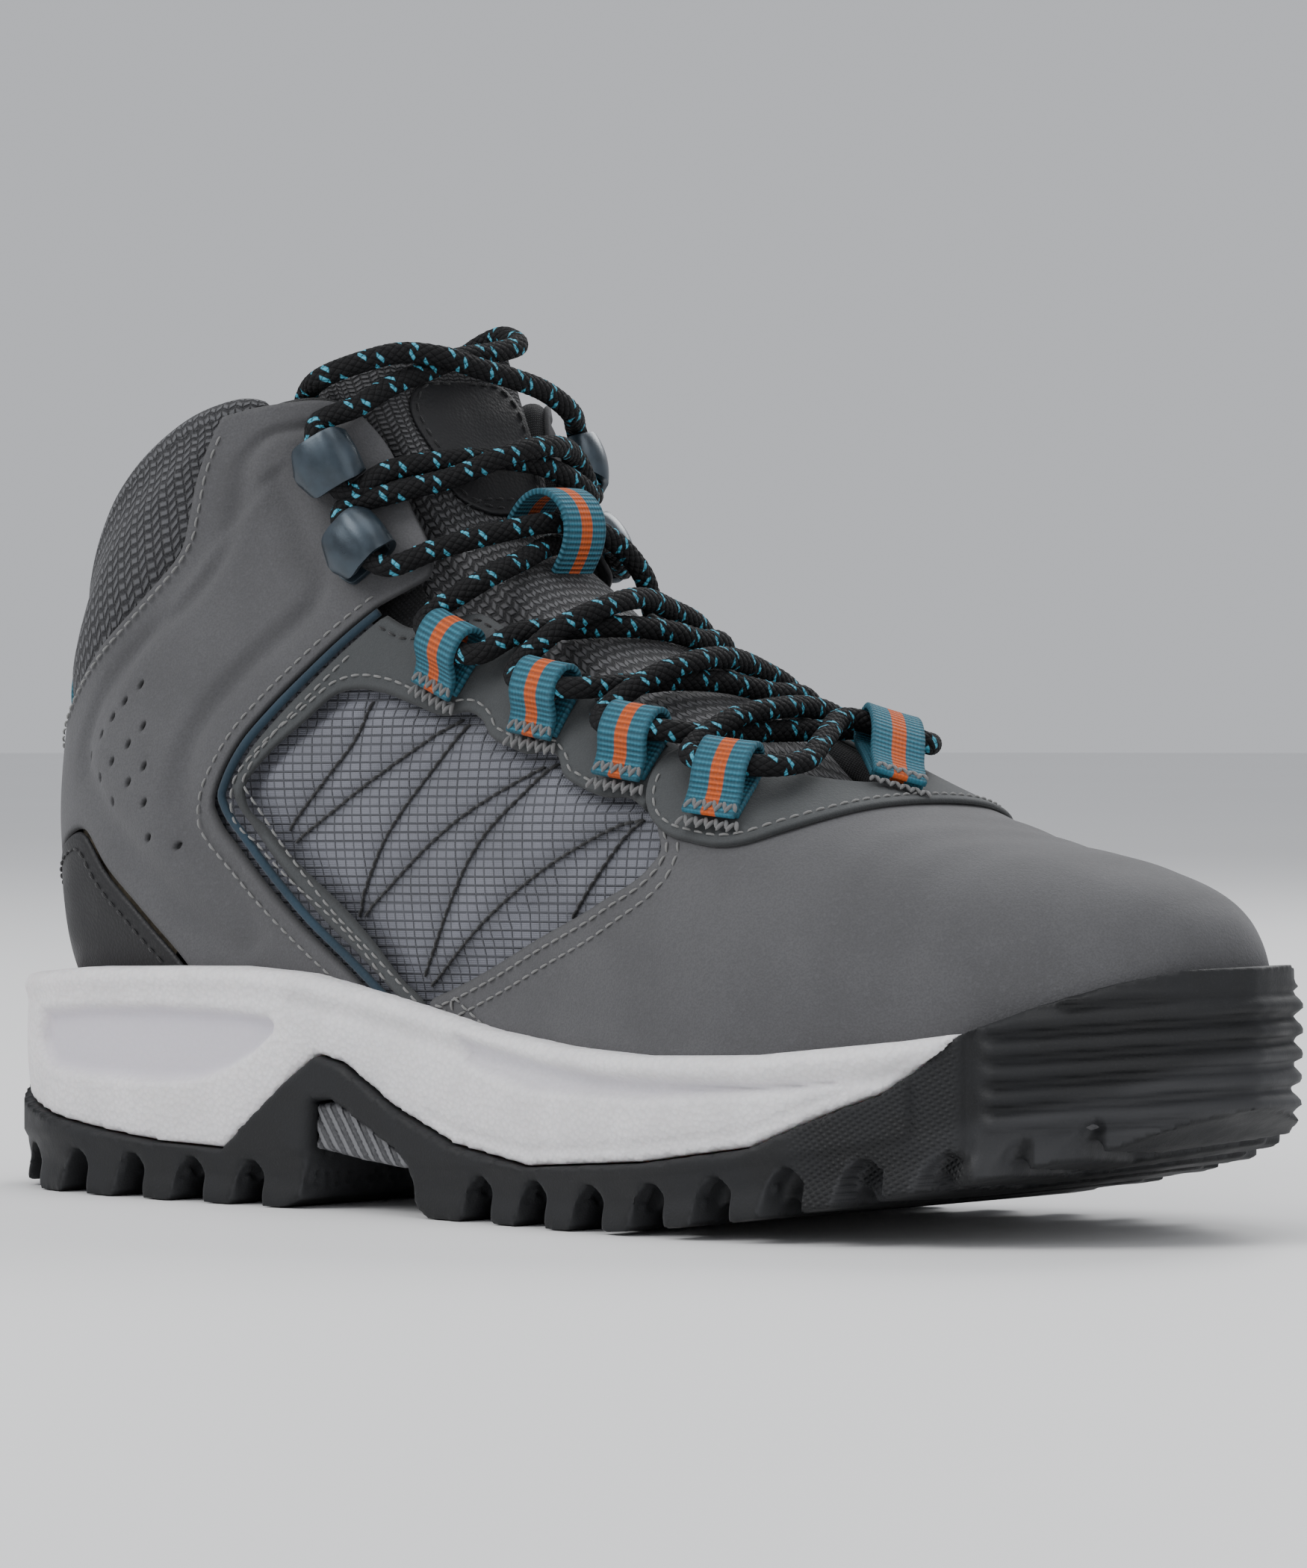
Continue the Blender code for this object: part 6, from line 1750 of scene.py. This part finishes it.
# The camera, in metres, with its lens and sensor in millimetres
CAMERA_AZIMUTH = 40.0
CAMERA_DISTANCE = 1.622
CAMERA_HEIGHT = 0.116
CAMERA_TARGET = (0.0071, 0.00228, 0.085)
LENS = 186.857
SENSOR = 36.0
# name, watts, size, azimuth in degrees, height and distance
LIGHTS = (("key", 22, 1.1, -25, 1.35, 1.5), ("fill", 9, 1.6, 75, 0.9, 1.8), ("rim", 16, 0.9, 190, 1.2, 1.5),
          ("top", 11, 1.2, 40, 1.9, 0.4))


def make_studio():
    """Camera, floor, four lights and a pale world."""
    camera = bpy.data.cameras.new("camera")
    camera.sensor_width = SENSOR
    camera.lens = LENS
    camera.clip_end = 20
    holder = bpy.data.objects.new("camera", camera)
    azimuth = math.radians(CAMERA_AZIMUTH)
    x, y, _ = CAMERA_TARGET
    holder.location = (x + CAMERA_DISTANCE * math.sin(azimuth), y - CAMERA_DISTANCE * math.cos(azimuth),
                       CAMERA_HEIGHT)
    holder.rotation_euler = (Vector(CAMERA_TARGET) - holder.location).to_track_quat("-Z", "Y").to_euler()
    bpy.context.scene.collection.objects.link(holder)
    bpy.context.scene.camera = holder

    floor_mesh = bpy.data.meshes.new("floor")
    shape = bmesh.new()
    bmesh.ops.create_circle(shape, cap_ends=True, segments=96, radius=6)
    shape.to_mesh(floor_mesh)
    shape.free()
    floor_mesh.materials.append(LOOKS["floor"])
    floor = bpy.data.objects.new("floor", floor_mesh)
    floor.location.z = -0.0002
    bpy.context.scene.collection.objects.link(floor)

    for name, energy, size, azimuth, height, distance in LIGHTS:
        light = bpy.data.lights.new(name, "AREA")
        light.energy = energy
        light.size = size
        holder = bpy.data.objects.new(name, light)
        angle = math.radians(azimuth)
        holder.location = (distance * math.sin(angle), -distance * math.cos(angle), height)
        aim = Vector((0, 0, 0.08)) - holder.location
        holder.rotation_euler = aim.to_track_quat("-Z", "Y").to_euler()
        bpy.context.scene.collection.objects.link(holder)

    world = bpy.data.worlds.new("studio")
    world.use_nodes = True
    background = world.node_tree.nodes["Background"]
    background.inputs["Color"].default_value = (0.93, 0.95, 1.0, 1)
    background.inputs["Strength"].default_value = 0.62
    bpy.context.scene.world = world


def floor_look():
    """A pale floor, very slightly clouded."""
    look = Look("floor", 0.6)
    clouds = look.noise(look.point(), 400, 2)
    look.colour(look.blend(clouds, (0.80, 0.80, 0.80), (0.84, 0.84, 0.84)))
    return look.material


LOOKS = {
    "nubuck": leather_look("nubuck", (0.072, 0.072, 0.076)),
    "eyestay": leather_look("eyestay_leather", (0.044, 0.048, 0.050), grain=0.3),
    "ripstop": ripstop_look(),
    "collar_knit": knit_look("collar_knit", 2.9, 2.3, (0.085, 0.086, 0.092), (0.008, 0.008, 0.010)),
    "tongue_knit": knit_look("tongue_knit", 3.6, 2.6, (0.10, 0.10, 0.105), (0.006, 0.006, 0.007)),
    "film": film_look("black_film", (0.011, 0.011, 0.012)),
    "lining": cloth_look("lining_cloth", (0.011, 0.011, 0.012)),
    "facing": cloth_look("facing_cloth", (0.014, 0.0145, 0.016), 0.6),
    "footbed": cloth_look("footbed_cloth", (0.035, 0.036, 0.04), 1.0),
    "foam": board_look("collar_foam", (0.30, 0.30, 0.28)),
    "board": board_look("fibre_board", (0.42, 0.36, 0.27)),
    "rubber": rubber_look(),
    "midsole": midsole_look(),
    "shank": shank_look(),
    "webbing": webbing_look(),
    "piping": cloth_look("piping_cloth", (0.014, 0.035, 0.055), 0.5),
    "lace": lace_look(),
    "hook": metal_look("hook_paint", (0.028, 0.042, 0.055)),
    "rivet": metal_look("rivet_metal", (0.10, 0.11, 0.12), 0.9, 0.4),
    "aglet": plastic_look("aglet_plastic", (0.012, 0.012, 0.013)),
    "pale_thread": thread_look("pale_thread", (0.20, 0.20, 0.195)),
    "tack_thread": thread_look("tack_thread", (0.15, 0.15, 0.15)),
    "black_thread": thread_look("black_thread", (0.010, 0.010, 0.011)),
    "floor": floor_look(),
}


def dress_hidden_nodes():
    """The stiffeners inside keep their CAD shapes."""
    for name in ("heel_counter", "toe_puff", "lasting_board"):
        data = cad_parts[name].data
        data.materials.clear()
        data.materials.append(LOOKS["board"])


make_studio()
make_lace()
make_sole()
make_vamp()
make_heel_overlay()
make_throat_overlay()
make_collar_mesh()
make_lining()
make_inner_parts()
for side, word in SIDES:
    make_side_mesh(word, side)
    make_quarter(word, side)
    make_eyestay(word, side)
    make_piping(word, side)
make_edges()
make_tongue()
make_seams()
make_lace_loops()
make_standing_loops()
make_hooks()
dress_hidden_nodes()
